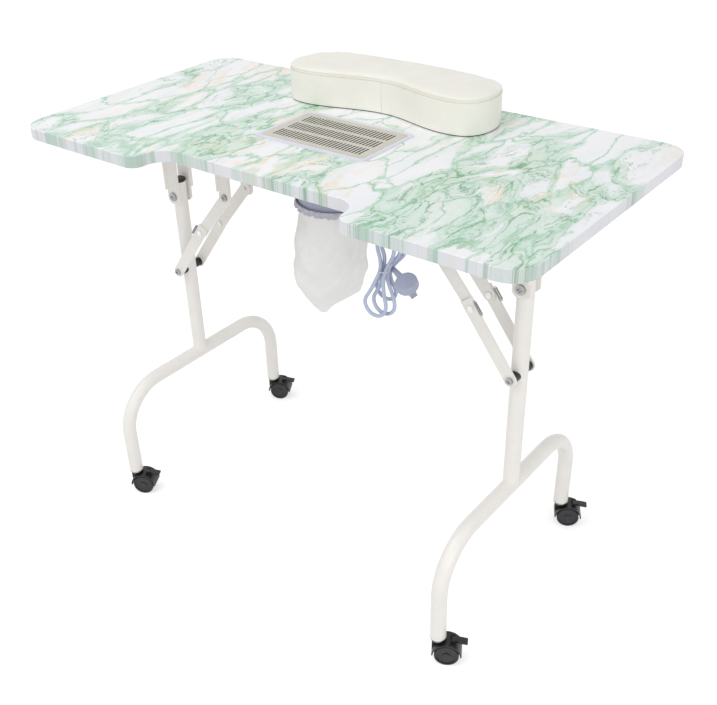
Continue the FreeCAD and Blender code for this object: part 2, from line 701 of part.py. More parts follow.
# ---- folding legs, built on the +X side and mirrored for the other ------------------------------
def stay_points(hinge_z):
    """Pivots of a folding stay in the leg's plane: leg bolt, knuckle and upper pivot, as (x, z)."""
    leg_bolt = (LEG_X, hinge_z - STAY_DROP)
    upper = (LEG_X - STAY_REACH, hinge_z + STAY_RISE)
    span = math.dist(leg_bolt, upper)
    bend = math.radians(KNUCKLE_BEND)
    upper_stay = math.sqrt(span ** 2 - (LOWER_STAY * math.sin(bend)) ** 2) - LOWER_STAY * math.cos(bend)
    along = (span ** 2 + LOWER_STAY ** 2 - upper_stay ** 2) / (2 * span)
    off = math.sqrt(LOWER_STAY ** 2 - along ** 2)
    way = ((upper[0] - leg_bolt[0]) / span, (upper[1] - leg_bolt[1]) / span)
    knuckle = (
        leg_bolt[0] + way[0] * along + way[1] * off,
        leg_bolt[1] + way[1] * along - way[0] * off,
    )
    return leg_bolt, knuckle, upper


def both_sides(make):
    """Two solids, one on each side of the leg's plane; make(way) builds one for way -1 or +1."""
    return [make(-1), make(1)]


def layer(way, near, far):
    """The Y range of a plate between two distances from the leg's plane."""
    first, second = LEG_Y + way * near, LEG_Y + way * far
    return min(first, second), max(first, second)


def bar(start, end, width, y_range):
    """Flat bar with round ends between two pivots given as (x, z)."""
    y0, y1 = y_range
    radius = width / 2
    length = math.dist(start, end)
    flat = block(0, length, 0, y1 - y0, -radius, radius)
    angle = math.degrees(math.atan2(end[1] - start[1], end[0] - start[0]))
    flat.rotate(ORIGIN, ALONG_Y, -angle)
    flat.translate(vec(start[0], y0, start[1]))
    ends = [rod(radius, vec(x, y0, z), y1 - y0, ALONG_Y) for x, z in (start, end)]
    return fuse([flat] + ends)


def cross_hole(radius, point, y_range):
    y0, y1 = y_range
    return rod(radius, vec(point[0], y0 - CUT_PAST, point[1]), y1 - y0 + 2 * CUT_PAST, ALONG_Y)


def through_leg(radius, x, z):
    """A cutting rod along Y, right through the leg and its brackets."""
    return rod(radius, vec(x, LEG_Y - CUT_ACROSS, z), 2 * CUT_ACROSS, ALONG_Y)


def make_upright(hinge_z):
    top = hinge_z + TUBE_ABOVE_HINGE
    tube = ring(TUBE_RADIUS, TUBE_BORE, vec(LEG_X, LEG_Y, FOOT_TOP), top - FOOT_TOP)
    saddle = through_leg(TUBE_RADIUS + FIT, LEG_X, FOOT_TOP)
    bore = through_leg(HINGE_BOLT_RADIUS + FIT, LEG_X, hinge_z)
    return tube.cut([saddle, bore])


def make_foot_tube():
    low, high = LEG_Y - FOOT_HALF_SPAN, LEG_Y + FOOT_HALF_SPAN
    route = [
        (LEG_X, low, FOOT_END), (LEG_X, low, FOOT_TOP), (LEG_X, high, FOOT_TOP), (LEG_X, high, FOOT_END)
    ]
    path = tangent_path(route, [FOOT_BEND, FOOT_BEND])
    return sweep_round(path, TUBE_RADIUS).cut(sweep_round(path, TUBE_BORE))


def make_tube_cap(hinge_z):
    top = hinge_z + TUBE_ABOVE_HINGE
    head = rod(TUBE_RADIUS, vec(LEG_X, LEG_Y, top), CAP_THICK)
    rim = [edge for edge in head.Edges if edge.BoundBox.ZMin > top + CAP_THICK / 2]
    plug = rod(TUBE_BORE - FIT, vec(LEG_X, LEG_Y, top - CAP_PLUG), CAP_PLUG + CAP_THICK / 2)
    return fuse([head.makeFillet(CAP_THICK / 2, rim), plug])


def make_spacers(hinge_z):
    leg_bolt = stay_points(hinge_z)[0]

    def spacer(way):
        y_range = layer(way, TUBE_RADIUS / 2, SPACER_END)
        body = rod(SPACER_RADIUS, vec(leg_bolt[0], y_range[0], leg_bolt[1]), y_range[1] - y_range[0],
                   ALONG_Y)
        tube = rod(TUBE_RADIUS + FIT, vec(LEG_X, LEG_Y, leg_bolt[1] - 2 * SPACER_RADIUS),
                   4 * SPACER_RADIUS)
        return body.cut([tube, cross_hole(STAY_BOLT_RADIUS + FIT, leg_bolt, y_range)])

    return both_sides(spacer)


def make_caster_stems():
    """Swivel stems in the foot tubes: a plug in the bore, a collar under the end and the pin."""
    stems = []
    for y in foot_ys():
        collar = rod(TUBE_RADIUS, vec(LEG_X, y, FOOT_END - STEM_COLLAR), STEM_COLLAR)
        plug = rod(TUBE_BORE - FIT, vec(LEG_X, y, FOOT_END), STEM_PLUG)
        pin = rod(STEM_RADIUS, vec(LEG_X, y, STEM_TIP), FOOT_END - STEM_TIP)
        stems.append(fuse([plug, collar, pin]))
    return stems


def foot_ys():
    return [LEG_Y - FOOT_HALF_SPAN, LEG_Y + FOOT_HALF_SPAN]


def plate_corners(x, half_width, top, bottom):
    """Side-plate outline in XZ with its two lower corners cut off at 45 degrees."""
    chamfer = HINGE_CHAMFER * half_width
    points = [
        (x - half_width, top), (x + half_width, top), (x + half_width, bottom + chamfer),
        (x + half_width - chamfer, bottom), (x - half_width + chamfer, bottom),
        (x - half_width, bottom + chamfer),
    ]
    return [vec(px, 0, pz) for px, pz in points]


def saddle_bracket(x, bolt_z, below, width, near, far, flange, bolt_radius):
    """Pressed bracket under the top: a screwed base, two side plates and stiffening flanges."""
    top = TOP_UNDER - HINGE_BASE
    bottom = bolt_z - below
    base = block(x - width / 2, x + width / 2, LEG_Y - far - HINGE_FOOT, LEG_Y + far + HINGE_FOOT,
                 top, TOP_UNDER)
    pieces = [base]
    for way in (-1, 1):
        y0, y1 = layer(way, near, far)
        corners = plate_corners(x, width / 2, top + HINGE_BASE / 2, bottom)
        plate = Part.Face(Part.makePolygon(corners + corners[:1])).extrude(vec(0, y1 - y0, 0))
        plate.translate(vec(0, y0, 0))
        pieces.append(plate)
        f0, f1 = layer(way, near, far + flange)
        for edge_x in (x - width / 2, x + width / 2 - HINGE_PLATE_THICK):
            pieces.append(block(edge_x, edge_x + HINGE_PLATE_THICK, f0, f1,
                                bolt_z + 2 * bolt_radius + HINGE_FLANGE_CLEAR, top + HINGE_BASE / 2))
    screw_holes = [
        rod(SCREW_RADIUS + FIT, vec(x, y, top - CUT_PAST), HINGE_BASE + 2 * CUT_PAST)
        for y in bracket_screw_ys(far)
    ]
    return fuse(pieces).cut([through_leg(bolt_radius + FIT, x, bolt_z)] + screw_holes)


def bracket_screw_ys(far):
    out = far + HINGE_FOOT - 2 * SCREW_HEAD_RADIUS
    return [LEG_Y - out, LEG_Y + out]


def bracket_screw_places():
    places = []
    for x, far in ((LEG_X, HINGE_FAR), (LEG_X - STAY_REACH, PLATE_FAR)):
        for side in (-1, 1):
            places += [(side * x, y) for y in bracket_screw_ys(far)]
    return places


def make_hinge_bracket(hinge_z):
    return saddle_bracket(LEG_X, hinge_z, HINGE_PLATE_BELOW, HINGE_PLATE_WIDTH, HINGE_NEAR, HINGE_FAR,
                          HINGE_FLANGE, HINGE_BOLT_RADIUS)


def make_stay_bracket(hinge_z):
    upper = stay_points(hinge_z)[2]
    return saddle_bracket(upper[0], upper[1], STAY_PLATE_BELOW, STAY_PLATE_WIDTH, PLATE_NEAR,
                          PLATE_FAR, HINGE_FLANGE, STAY_BOLT_RADIUS)


def make_bracket_screws():
    return [
        screw(SCREW_RADIUS, SCREW_HEAD_RADIUS, SCREW_HEAD_THICK, HINGE_BASE + SCREW_DEPTH - 1,
              vec(x, y, TOP_UNDER - HINGE_BASE), UP)
        for x, y in bracket_screw_places()
    ]


def make_pivot_bolts(hinge_z):
    """The through bolt of the leg hinge with its nut, and a short bolt at each upper stay pivot."""
    bolt = screw(HINGE_BOLT_RADIUS, BOLT_HEAD_SPREAD * HINGE_BOLT_RADIUS, BOLT_HEAD_THICK,
                 2 * HINGE_FAR + BOLT_TAIL, vec(LEG_X, LEG_Y - HINGE_FAR, hinge_z), ALONG_Y)
    nut = ring(NUT_SPREAD * HINGE_BOLT_RADIUS, HINGE_BOLT_RADIUS + FIT,
               vec(LEG_X, LEG_Y + HINGE_FAR, hinge_z), NUT_THICK, ALONG_Y)
    upper = stay_points(hinge_z)[2]

    def stay_bolt(way):
        return screw(STAY_BOLT_RADIUS, BOLT_HEAD_SPREAD * STAY_BOLT_RADIUS, BOLT_HEAD_THICK,
                     PLATE_FAR - UPPER_NEAR + FIT,
                     vec(upper[0], LEG_Y + way * PLATE_FAR, upper[1]), -ALONG_Y * way)

    return [bolt, nut] + both_sides(stay_bolt)


def make_upper_stays(hinge_z):
    _, knuckle, upper = stay_points(hinge_z)

    def stay(way):
        y_range = layer(way, UPPER_NEAR, UPPER_FAR)
        body = bar(upper, knuckle, STAY_WIDTH, y_range)
        return body.cut([
            cross_hole(STAY_BOLT_RADIUS + FIT, upper, y_range),
            cross_hole(RIVET_RADIUS + FIT, knuckle, y_range),
        ])

    return both_sides(stay)


def square_tail(start, knuckle, y_range):
    """The square end of a stay, running past the knuckle in line with the stay."""
    y0, y1 = y_range
    tail = block(0, STAY_TAIL, 0, y1 - y0, -STAY_WIDTH / 2, STAY_WIDTH / 2)
    tail.rotate(ORIGIN, ALONG_Y, -math.degrees(math.atan2(knuckle[1] - start[1], knuckle[0] - start[0])))
    tail.translate(vec(knuckle[0], y0, knuckle[1]))
    return tail


def make_lower_stays(hinge_z):
    leg_bolt, knuckle, _ = stay_points(hinge_z)

    def stay(way):
        y_range = layer(way, LOWER_NEAR, LOWER_FAR)
        body = fuse([bar(leg_bolt, knuckle, STAY_WIDTH, y_range), square_tail(leg_bolt, knuckle, y_range)])
        return body.cut([
            cross_hole(STAY_BOLT_RADIUS + FIT, leg_bolt, y_range),
            cross_hole(RIVET_RADIUS + FIT, knuckle, y_range),
        ])

    return both_sides(stay)


def make_knuckle_rivets(hinge_z):
    knuckle = stay_points(hinge_z)[1]
    inner = UPPER_NEAR - SIDE_PLAY - RIVET_HEAD_THICK

    def rivet(way):
        out = ALONG_Y * way
        middle = vec(knuckle[0], LEG_Y, knuckle[1])
        shank = rod(RIVET_RADIUS, middle + out * inner, LOWER_FAR + RIVET_HEAD_THICK - inner, out)
        heads = [
            rod(RIVET_HEAD_RADIUS, middle + out * LOWER_FAR, RIVET_HEAD_THICK, out),
            rod(RIVET_HEAD_RADIUS, middle + out * inner, RIVET_HEAD_THICK, out),
        ]
        return fuse([shank] + heads)

    return both_sides(rivet)


def make_stay_bolts(hinge_z):
    leg_bolt = stay_points(hinge_z)[0]

    def stay_bolt(way):
        return screw(STAY_BOLT_RADIUS, BOLT_HEAD_SPREAD * STAY_BOLT_RADIUS, BOLT_HEAD_THICK, STAY_THICK,
                     vec(leg_bolt[0], LEG_Y + way * LOWER_FAR, leg_bolt[1]), -ALONG_Y * way)

    return both_sides(stay_bolt)


def make_stay_springs(hinge_z):
    """Lock springs along the outer edge of each lower stay, over the knuckle."""
    leg_bolt, knuckle, _ = stay_points(hinge_z)
    length = math.dist(leg_bolt, knuckle)
    down = vec((leg_bolt[0] - knuckle[0]) / length, 0, (leg_bolt[1] - knuckle[1]) / length)
    out = vec(-down.z, 0, down.x)
    side = STAY_WIDTH / 2 + SPRING_RADIUS + FIT

    def spring(way):
        middle = vec(knuckle[0], LEG_Y + way * (LOWER_NEAR + SPRING_RADIUS), knuckle[1])
        return rod(SPRING_RADIUS, middle + out * side - down * SPRING_RISE, SPRING_LENGTH, down)

    return both_sides(spring)


# ---- casters ------------------------------------------------------------------------------------
# Each caster is built with its stem on the Z axis and its wheels trailing along +X, then turned on the
# stem and set under its foot.
AXLE = vec(CASTER_TRAIL, 0, WHEEL_RADIUS)


def brake_pivot():
    radius = HOOD_OUTSIDE + SIDE_PLAY + BRAKE_KNOB_RADIUS
    return AXLE + vec(BRAKE_OFFSET, 0, math.sqrt(radius ** 2 - BRAKE_OFFSET ** 2))


def along_axle(radius, middle, half_length):
    return rod(radius, middle - ALONG_Y * half_length, 2 * half_length, ALONG_Y)


def make_hood():
    """Swivelling hood: boss for the stem, web between the wheels and a half-round cover over them."""
    half_web = HOOD_WEB / 2
    half_width = half_web + SIDE_PLAY + WHEEL_WIDTH
    boss_top = FOOT_END - STEM_COLLAR - SIDE_PLAY
    boss_base = 2 * WHEEL_RADIUS + CUT_PAST
    boss = rod(HOOD_BOSS_RADIUS, vec(0, 0, boss_base), boss_top - boss_base)
    web = along_axle(WHEEL_RADIUS - HOOD_WEB_RIM, AXLE, half_web)
    pillar = block(-HOOD_BOSS_RADIUS, CASTER_TRAIL, -half_web, half_web, WHEEL_RADIUS, boss_base + CUT_PAST)
    cover = along_axle(HOOD_OUTSIDE, AXLE, half_width)
    upper_half = block(-CUT_ACROSS, CUT_ACROSS, -CUT_ACROSS, CUT_ACROSS, WHEEL_RADIUS, CUT_ACROSS)
    wheel_room = [
        rod(HOOD_INSIDE, AXLE + ALONG_Y * (way * half_web), half_width, ALONG_Y * way) for way in (-1, 1)
    ]
    pivot = brake_pivot()
    ears = [
        block(pivot.x - BRAKE_EAR_HALF, pivot.x + BRAKE_EAR_HALF, min(near, far), max(near, far),
              AXLE.z + HOOD_GAP, pivot.z + BRAKE_EAR_HALF)
        for near, far in ((way * ear_gap(), way * (ear_gap() + BRAKE_EAR_THICK)) for way in (-1, 1))
    ]
    shell = fuse([boss, web, pillar, cover.common(upper_half)] + ears)
    return shell.cut(wheel_room + [
        rod(STEM_RADIUS + FIT, vec(0, 0, STEM_TIP - SIDE_PLAY), CUT_ACROSS),
        along_axle(WHEEL_BORE + FIT, AXLE, CUT_ACROSS),
        along_axle(BRAKE_PIN_RADIUS + FIT, pivot, CUT_ACROSS),
    ])


def ear_gap():
    return HOOD_WEB / 2


def make_wheels():
    """Two wheels with dished faces on one steel axle."""
    near = HOOD_WEB / 2 + SIDE_PLAY
    solids = []
    for way in (-1, 1):
        out = ALONG_Y * way
        wheel = rod(WHEEL_RADIUS, AXLE + out * near, WHEEL_WIDTH, out)
        rims = [edge for edge in wheel.Edges if len(edge.Vertexes) == 1]
        wheel = wheel.makeFillet(WHEEL_EDGE_ROUND, rims)
        dish = ring(WHEEL_RADIUS - WHEEL_RIM, WHEEL_HUB_RADIUS,
                    AXLE + out * (near + WHEEL_WIDTH - WHEEL_DISH), WHEEL_DISH + CUT_PAST, out)
        bore = rod(WHEEL_BORE + FIT, AXLE + out * (near - CUT_PAST), WHEEL_WIDTH, out)
        solids.append(wheel.cut([dish, bore]))
    solids.append(along_axle(WHEEL_BORE, AXLE, near + WHEEL_WIDTH - 2 * CUT_PAST))
    return solids


def make_brake():
    """Foot lever on a pin between the hood's ears."""
    pivot = brake_pivot()
    half_neck = ear_gap() - SIDE_PLAY
    half_thick = BRAKE_THICK / 2
    knob = along_axle(BRAKE_KNOB_RADIUS, pivot, half_neck)
    neck = block(pivot.x, pivot.x + BRAKE_NECK + CUT_PAST, -half_neck, half_neck,
                 pivot.z - half_thick, pivot.z + half_thick)
    pad = block(pivot.x + BRAKE_NECK, pivot.x + BRAKE_REACH, -BRAKE_WIDTH / 2, BRAKE_WIDTH / 2,
                pivot.z - half_thick, pivot.z + half_thick)
    pad = pad.makeFillet(BRAKE_THICK / 4, pad.Edges)
    lever = fuse([neck, pad])
    lever.rotate(pivot, ALONG_Y, BRAKE_DROOP)
    return fuse([knob, lever, along_axle(BRAKE_PIN_RADIUS, pivot, ear_gap() + BRAKE_EAR_THICK)])


# ---- power cord ---------------------------------------------------------------------------------
def cord_radii():
    """Bend radius at each inner point, as large as the two runs beside it allow."""
    corners = [vec(*point) for point in CORD_ROUTE]
    radii = []
    for before, here, after in zip(corners, corners[1:], corners[2:]):
        arrive = here - before
        leave = after - here
        half_turn = arrive.getAngle(leave) / 2
        radii.append(0.45 * min(arrive.Length, leave.Length) / math.tan(half_turn))
    return radii


def make_cord():
    path = tangent_path(CORD_ROUTE, cord_radii())
    tube = sweep_round(path, CORD_RADIUS)
    expected = math.pi * CORD_RADIUS ** 2 * path.Length
    print("cord bend radii", [round(radius, 1) for radius in cord_radii()])
    print("cord run", round(path.Length, 1), "volume against section times length",
          round(tube.Volume / expected, 5))
    return tube


def hank_x(z):
    """The hank leans: its middle moves towards +X with height."""
    return HANK_X + HANK_LEAN * (z - HANK_WAIST)


def oval(half_x, half_y, z):
    ellipse = Part.Ellipse(vec(hank_x(z), HANK_Y, z), max(half_x, half_y), min(half_x, half_y))
    return Part.Wire([ellipse.toShape()])


def make_hank():
    """Outer shape of the folded cord: a bundle gathered by the tie, wider at both ends."""
    flat = HANK_THICK_HALF
    sections = [
        oval(0.75 * HANK_TOP_HALF, 0.6 * flat, HANK_TOP),
        oval(HANK_TOP_HALF, flat, HANK_TOP - HANK_TOP_TAPER),
        oval(HANK_WAIST_HALF, flat, HANK_WAIST),
        oval(HANK_BOTTOM_HALF, flat, HANK_BOTTOM + HANK_BOTTOM_TAPER),
        oval(0.6 * HANK_BOTTOM_HALF, 0.7 * flat, HANK_BOTTOM),
    ]
    return Part.makeLoft(sections, True, False)


def make_tie():
    """Twist tie round the waist."""
    half = TIE_WIDTH / 2

    def sleeve(grow, reach):
        ends = [oval(HANK_WAIST_HALF + grow, HANK_THICK_HALF + grow, z)
                for z in (HANK_WAIST - reach, HANK_WAIST + reach)]
        return Part.makeLoft(ends, True, True)

    return sleeve(TIE_THICK + SIDE_PLAY, half).cut(sleeve(SIDE_PLAY, half + CUT_PAST))


def place_plug(shape):
    """Moves a shape built round the origin, pins down, to the plug's place and tilt."""
    shape.rotate(ORIGIN, ALONG_X, PLUG_TILT)
    shape.translate(vec(*PLUG_CENTRE))
    return shape


def relief_way():
    """From the plug's middle out along its strain relief, before the plug is tilted."""
    turn = math.radians(RELIEF_TURN)
    return vec(-math.cos(turn), math.sin(turn), 0)


def make_cord_end(hank):
    """The short end of the cord between the hank and the plug's strain relief."""
    start = relief_way() * (PLUG_RADIUS + RELIEF_LENGTH)
    reach = (PLUG_CENTRE[0] - HANK_X) - (PLUG_RADIUS + RELIEF_LENGTH) * math.cos(math.radians(RELIEF_TURN))
    return place_plug(rod(CORD_RADIUS, start, reach, relief_way())).cut(hank)


def make_plug_body():
    """Round flat grip, moulded on its cord, with a strain relief out of its rim."""
    disc = rod(PLUG_RADIUS, UP * (-PLUG_THICK / 2), PLUG_THICK)
    rims = [edge for edge in disc.Edges if len(edge.Vertexes) == 1]
    disc = disc.makeFillet(PLUG_EDGE_ROUND, rims)
    root = PLUG_RADIUS / 2
    relief = Part.makeCone(RELIEF_ROOT_RADIUS, CORD_RADIUS + RELIEF_WALL,
                           PLUG_RADIUS + RELIEF_LENGTH - root, relief_way() * root, relief_way())
    return place_plug(fuse([disc, relief]))


def across_pins(length, width, z0, z1):
    """A block round the pins' axis, its length in line with the strain relief."""
    piece = block(-length / 2, length / 2, -width / 2, width / 2, z0, z1)
    piece.rotate(ORIGIN, UP, -RELIEF_TURN)
    return piece


def make_plug_pins():
    face = -PLUG_THICK / 2
    pair = across_pins(BLADE_SPACING + BLADE_THICK, BLADE_WIDTH, face - BLADE_LENGTH, face)
    between = across_pins(BLADE_SPACING - BLADE_THICK, BLADE_WIDTH + CUT_PAST,
                          face - BLADE_LENGTH - CUT_PAST, face + CUT_PAST)
    return place_plug(pair.cut(between))


def make_plug_cap():
    """Clear cover pushed over the pins."""
    face = -PLUG_THICK / 2
    length = BLADE_SPACING + BLADE_THICK + 2 * SIDE_PLAY
    width = BLADE_WIDTH + 2 * SIDE_PLAY
    tip = face - BLADE_LENGTH - SIDE_PLAY
    outer = across_pins(length + 2 * CAP_WALL, width + 2 * CAP_WALL, tip - CAP_WALL, face)
    inner = across_pins(length, width, tip, face + CUT_PAST)
    return place_plug(outer.cut(inner))


# ---- writing the nodes --------------------------------------------------------------------------
def mirrored(shape):
    return shape.mirror(ORIGIN, ALONG_X)


def as_list(made):
    return made if isinstance(made, list) else [made]


def save(node, shapes):
    pieces = [solid for shape in as_list(shapes) for solid in shape.Solids]
    whole = pieces[0] if len(pieces) == 1 else Part.makeCompound(pieces)
    whole.exportStep(os.path.join("parts", node + ".step"))


LEG_NODES = {
    "hinge_bracket": make_hinge_bracket,
    "stay_bracket": make_stay_bracket,
    "leg_upright": make_upright,
    "tube_cap": make_tube_cap,
    "stay_spacers": make_spacers,
    "upper_stays": make_upper_stays,
    "lower_stays": make_lower_stays,
    "knuckle_rivets": make_knuckle_rivets,
    "stay_bolts": make_stay_bolts,
    "stay_springs": make_stay_springs,
}


def save_leg(side):
    hinge_z = HINGE_HEIGHT[side]
    nodes = {name: make(hinge_z) for name, make in LEG_NODES.items()}
    nodes["foot_tube"] = make_foot_tube()
    nodes["caster_stems"] = make_caster_stems()
    for name, made in nodes.items():
        shapes = as_list(made)
        if side == "left":
            shapes = [mirrored(shape) for shape in shapes]
        save(side + "_" + name, shapes)


CASTER_NODES = {"hood": make_hood, "wheels": make_wheels, "brake": make_brake}


def save_casters():
    for side, stem_x in (("left", -LEG_X), ("right", LEG_X)):
        for place, y in zip(("front", "rear"), foot_ys()):
            for name, make in CASTER_NODES.items():
                shapes = as_list(make())
                for shape in shapes:
                    shape.rotate(ORIGIN, UP, CASTER_TURN)
                    shape.translate(vec(stem_x, y, 0))
                save(place + "_" + side + "_caster_" + name, shapes)


def save_pivot_bolts():
    left = [mirrored(shape) for shape in make_pivot_bolts(HINGE_HEIGHT["left"])]
    save("pivot_bolts", left + make_pivot_bolts(HINGE_HEIGHT["right"]))


def save_cord():
    hank = make_hank()
    save("power_cord", [make_cord(), make_cord_end(hank)])
    save("cord_hank", hank)
    save("cord_tie", make_tie())
    save("plug_body", make_plug_body())
    save("plug_pins", make_plug_pins())
    save("plug_cap", make_plug_cap())


def main():
    os.makedirs("parts", exist_ok=True)
    save("table_top", make_table_top())
    save("fan_bezel", make_bezel())
    save("fan_grille", make_grille())
    save("fan_housing", make_housing())
    save("housing_screws", make_housing_screws())
    save("fan_frame", make_fan_frame())
    save("fan_stator", make_fan_stator())
    save("fan_rotor", make_fan_rotor())
    save("fan_screws", make_fan_screws())
    save("switch_body", make_switch_body())
    save("switch_rocker", make_rocker())
    save("cord_gland", make_gland())
    save("dust_bag", make_bag())
    save("bag_elastic", make_elastic())
    save("wrist_cushion", make_cushion())
    save("wrist_board", make_rest_board())
    save("bracket_screws", make_bracket_screws())
    save_pivot_bolts()
    save_cord()
    for side in ("left", "right"):
        save_leg(side)
    save_casters()


main()
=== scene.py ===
import math
import bmesh
import bpy
import numpy as np
from mathutils import Matrix, Vector, noise


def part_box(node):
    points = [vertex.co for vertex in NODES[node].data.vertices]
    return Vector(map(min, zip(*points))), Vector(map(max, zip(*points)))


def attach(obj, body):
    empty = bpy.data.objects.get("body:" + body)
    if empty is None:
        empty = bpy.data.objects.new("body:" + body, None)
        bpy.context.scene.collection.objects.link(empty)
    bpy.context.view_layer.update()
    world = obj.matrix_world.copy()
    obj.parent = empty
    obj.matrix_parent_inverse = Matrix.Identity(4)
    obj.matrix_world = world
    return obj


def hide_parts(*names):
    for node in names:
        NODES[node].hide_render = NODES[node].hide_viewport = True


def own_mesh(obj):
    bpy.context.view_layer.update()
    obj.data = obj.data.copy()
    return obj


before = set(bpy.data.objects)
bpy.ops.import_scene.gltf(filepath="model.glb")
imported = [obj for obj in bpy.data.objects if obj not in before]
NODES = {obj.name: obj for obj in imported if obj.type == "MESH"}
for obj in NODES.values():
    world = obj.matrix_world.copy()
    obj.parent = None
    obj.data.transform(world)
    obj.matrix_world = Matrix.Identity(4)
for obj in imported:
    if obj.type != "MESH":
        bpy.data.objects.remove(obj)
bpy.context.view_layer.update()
MM = 0.001
TURN = 2 * math.pi


def shown(name, data):
    """A new object of the scene that holds the given data."""
    made = bpy.data.objects.new(name, data)
    bpy.context.scene.collection.objects.link(made)
    return made


# ---- camera, light and floor --------------------------------------------------------------------
VIEW_AZIMUTH = 40.320
VIEW_ELEVATION = 32.956
VIEW_ROLL = -2.5606
VIEW_TARGET = (0.09743, -0.14790, 0.4)
VIEW_DISTANCE = 1.45700
SENSOR = 36.0
VIEW_LENS = 48.935
VIEW_SHIFT = (0.03965, 0.02589)


def make_camera():
    azimuth, elevation = math.radians(VIEW_AZIMUTH), math.radians(VIEW_ELEVATION)
    back = Vector((math.sin(azimuth) * math.cos(elevation),
                   -math.cos(azimuth) * math.cos(elevation), math.sin(elevation)))
    right = (-back).cross(Vector((0, 0, 1))).normalized()
    up = right.cross(-back)
    roll = math.radians(VIEW_ROLL)
    across = math.cos(roll) * right + math.sin(roll) * up
    above = -math.sin(roll) * right + math.cos(roll) * up
    data = bpy.data.cameras.new("camera")
    camera = shown("camera", data)
    place = Matrix((across, above, back)).transposed().to_4x4()
    place.translation = Vector(VIEW_TARGET) + back * VIEW_DISTANCE
    camera.matrix_world = place
    data.sensor_width = SENSOR
    data.lens = VIEW_LENS
    data.shift_x, data.shift_y = VIEW_SHIFT
    data.clip_start, data.clip_end = 0.05, 60
    bpy.context.scene.camera = camera


def make_lamp(name, place, aim, size, power):
    data = bpy.data.lights.new(name, "AREA")
    data.shape = "SQUARE"
    data.size = size
    data.energy = power
    lamp = shown(name, data)
    lamp.location = place
    lamp.rotation_euler = (Vector(aim) - Vector(place)).to_track_quat("-Z", "Y").to_euler()


def white_to_camera(tree):
    """A factor that is 1 for camera, glossy and transmission rays."""
    path = tree.nodes.new("ShaderNodeLightPath")
    factor = path.outputs["Is Camera Ray"]
    for ray in ("Is Glossy Ray", "Is Transmission Ray"):
        either = tree.nodes.new("ShaderNodeMath")
        either.operation = "MAXIMUM"
        tree.links.new(factor, either.inputs[0])
        tree.links.new(path.outputs[ray], either.inputs[1])
        factor = either.outputs[0]
    return factor


WORLD_LIGHT = 0.62
FLOOR_GLOW = 0.50
FLOOR_HALF = 14.0
FLOOR_GREY = 0.80


def make_world():
    world = bpy.data.worlds.new("studio")
    world.use_nodes = True
    tree = world.node_tree
    tree.nodes.clear()
    light = tree.nodes.new("ShaderNodeBackground")
    light.inputs["Strength"].default_value = WORLD_LIGHT
    seen = tree.nodes.new("ShaderNodeBackground")
    mix = tree.nodes.new("ShaderNodeMixShader")
    out = tree.nodes.new("ShaderNodeOutputWorld")
    for node in (light, seen):
        node.inputs["Color"].default_value = (1, 1, 1, 1)
    tree.links.new(white_to_camera(tree), mix.inputs[0])
    tree.links.new(light.outputs[0], mix.inputs[1])
    tree.links.new(seen.outputs[0], mix.inputs[2])
    tree.links.new(mix.outputs[0], out.inputs[0])
    bpy.context.scene.world = world


def make_floor():
    mesh = bpy.data.meshes.new("floor")
    corners = [(x * FLOOR_HALF, y * FLOOR_HALF, 0) for x, y in ((-1, -1), (1, -1), (1, 1), (-1, 1))]
    mesh.from_pydata(corners, [], [(0, 1, 2, 3)])
    floor = shown("floor", mesh)
    material = bpy.data.materials.new("studio_floor")
    material.use_nodes = True
    tree = material.node_tree
    tree.nodes.clear()
    matt = tree.nodes.new("ShaderNodeBsdfDiffuse")
    matt.inputs["Color"].default_value = (FLOOR_GREY, FLOOR_GREY, FLOOR_GREY, 1)
    glow = tree.nodes.new("ShaderNodeEmission")
    glow.inputs["Strength"].default_value = FLOOR_GLOW
    both = tree.nodes.new("ShaderNodeAddShader")
    mix = tree.nodes.new("ShaderNodeMixShader")
    out = tree.nodes.new("ShaderNodeOutputMaterial")
    tree.links.new(matt.outputs[0], both.inputs[0])
    tree.links.new(glow.outputs[0], both.inputs[1])
    tree.links.new(white_to_camera(tree), mix.inputs[0])
    tree.links.new(matt.outputs[0], mix.inputs[1])
    tree.links.new(both.outputs[0], mix.inputs[2])
    tree.links.new(mix.outputs[0], out.inputs[0])
    mesh.materials.append(material)


make_camera()
make_world()
make_lamp("key", (-0.7, -1.5, 2.9), (0, 0, 0.5), 2.6, 30)
make_lamp("fill", (2.7, -1.5, 1.2), (0, 0, 0.35), 2.0, 20)
make_floor()
bpy.context.scene.view_settings.view_transform = "Standard"


# ---- materials ----------------------------------------------------------------------------------
def linear(red, green, blue):
    """A written colour, 0 to 255, as the shader takes it."""
    return tuple((c / 255 / 12.92 if c <= 10 else ((c / 255 + 0.055) / 1.055) ** 2.4)
                 for c in (red, green, blue))


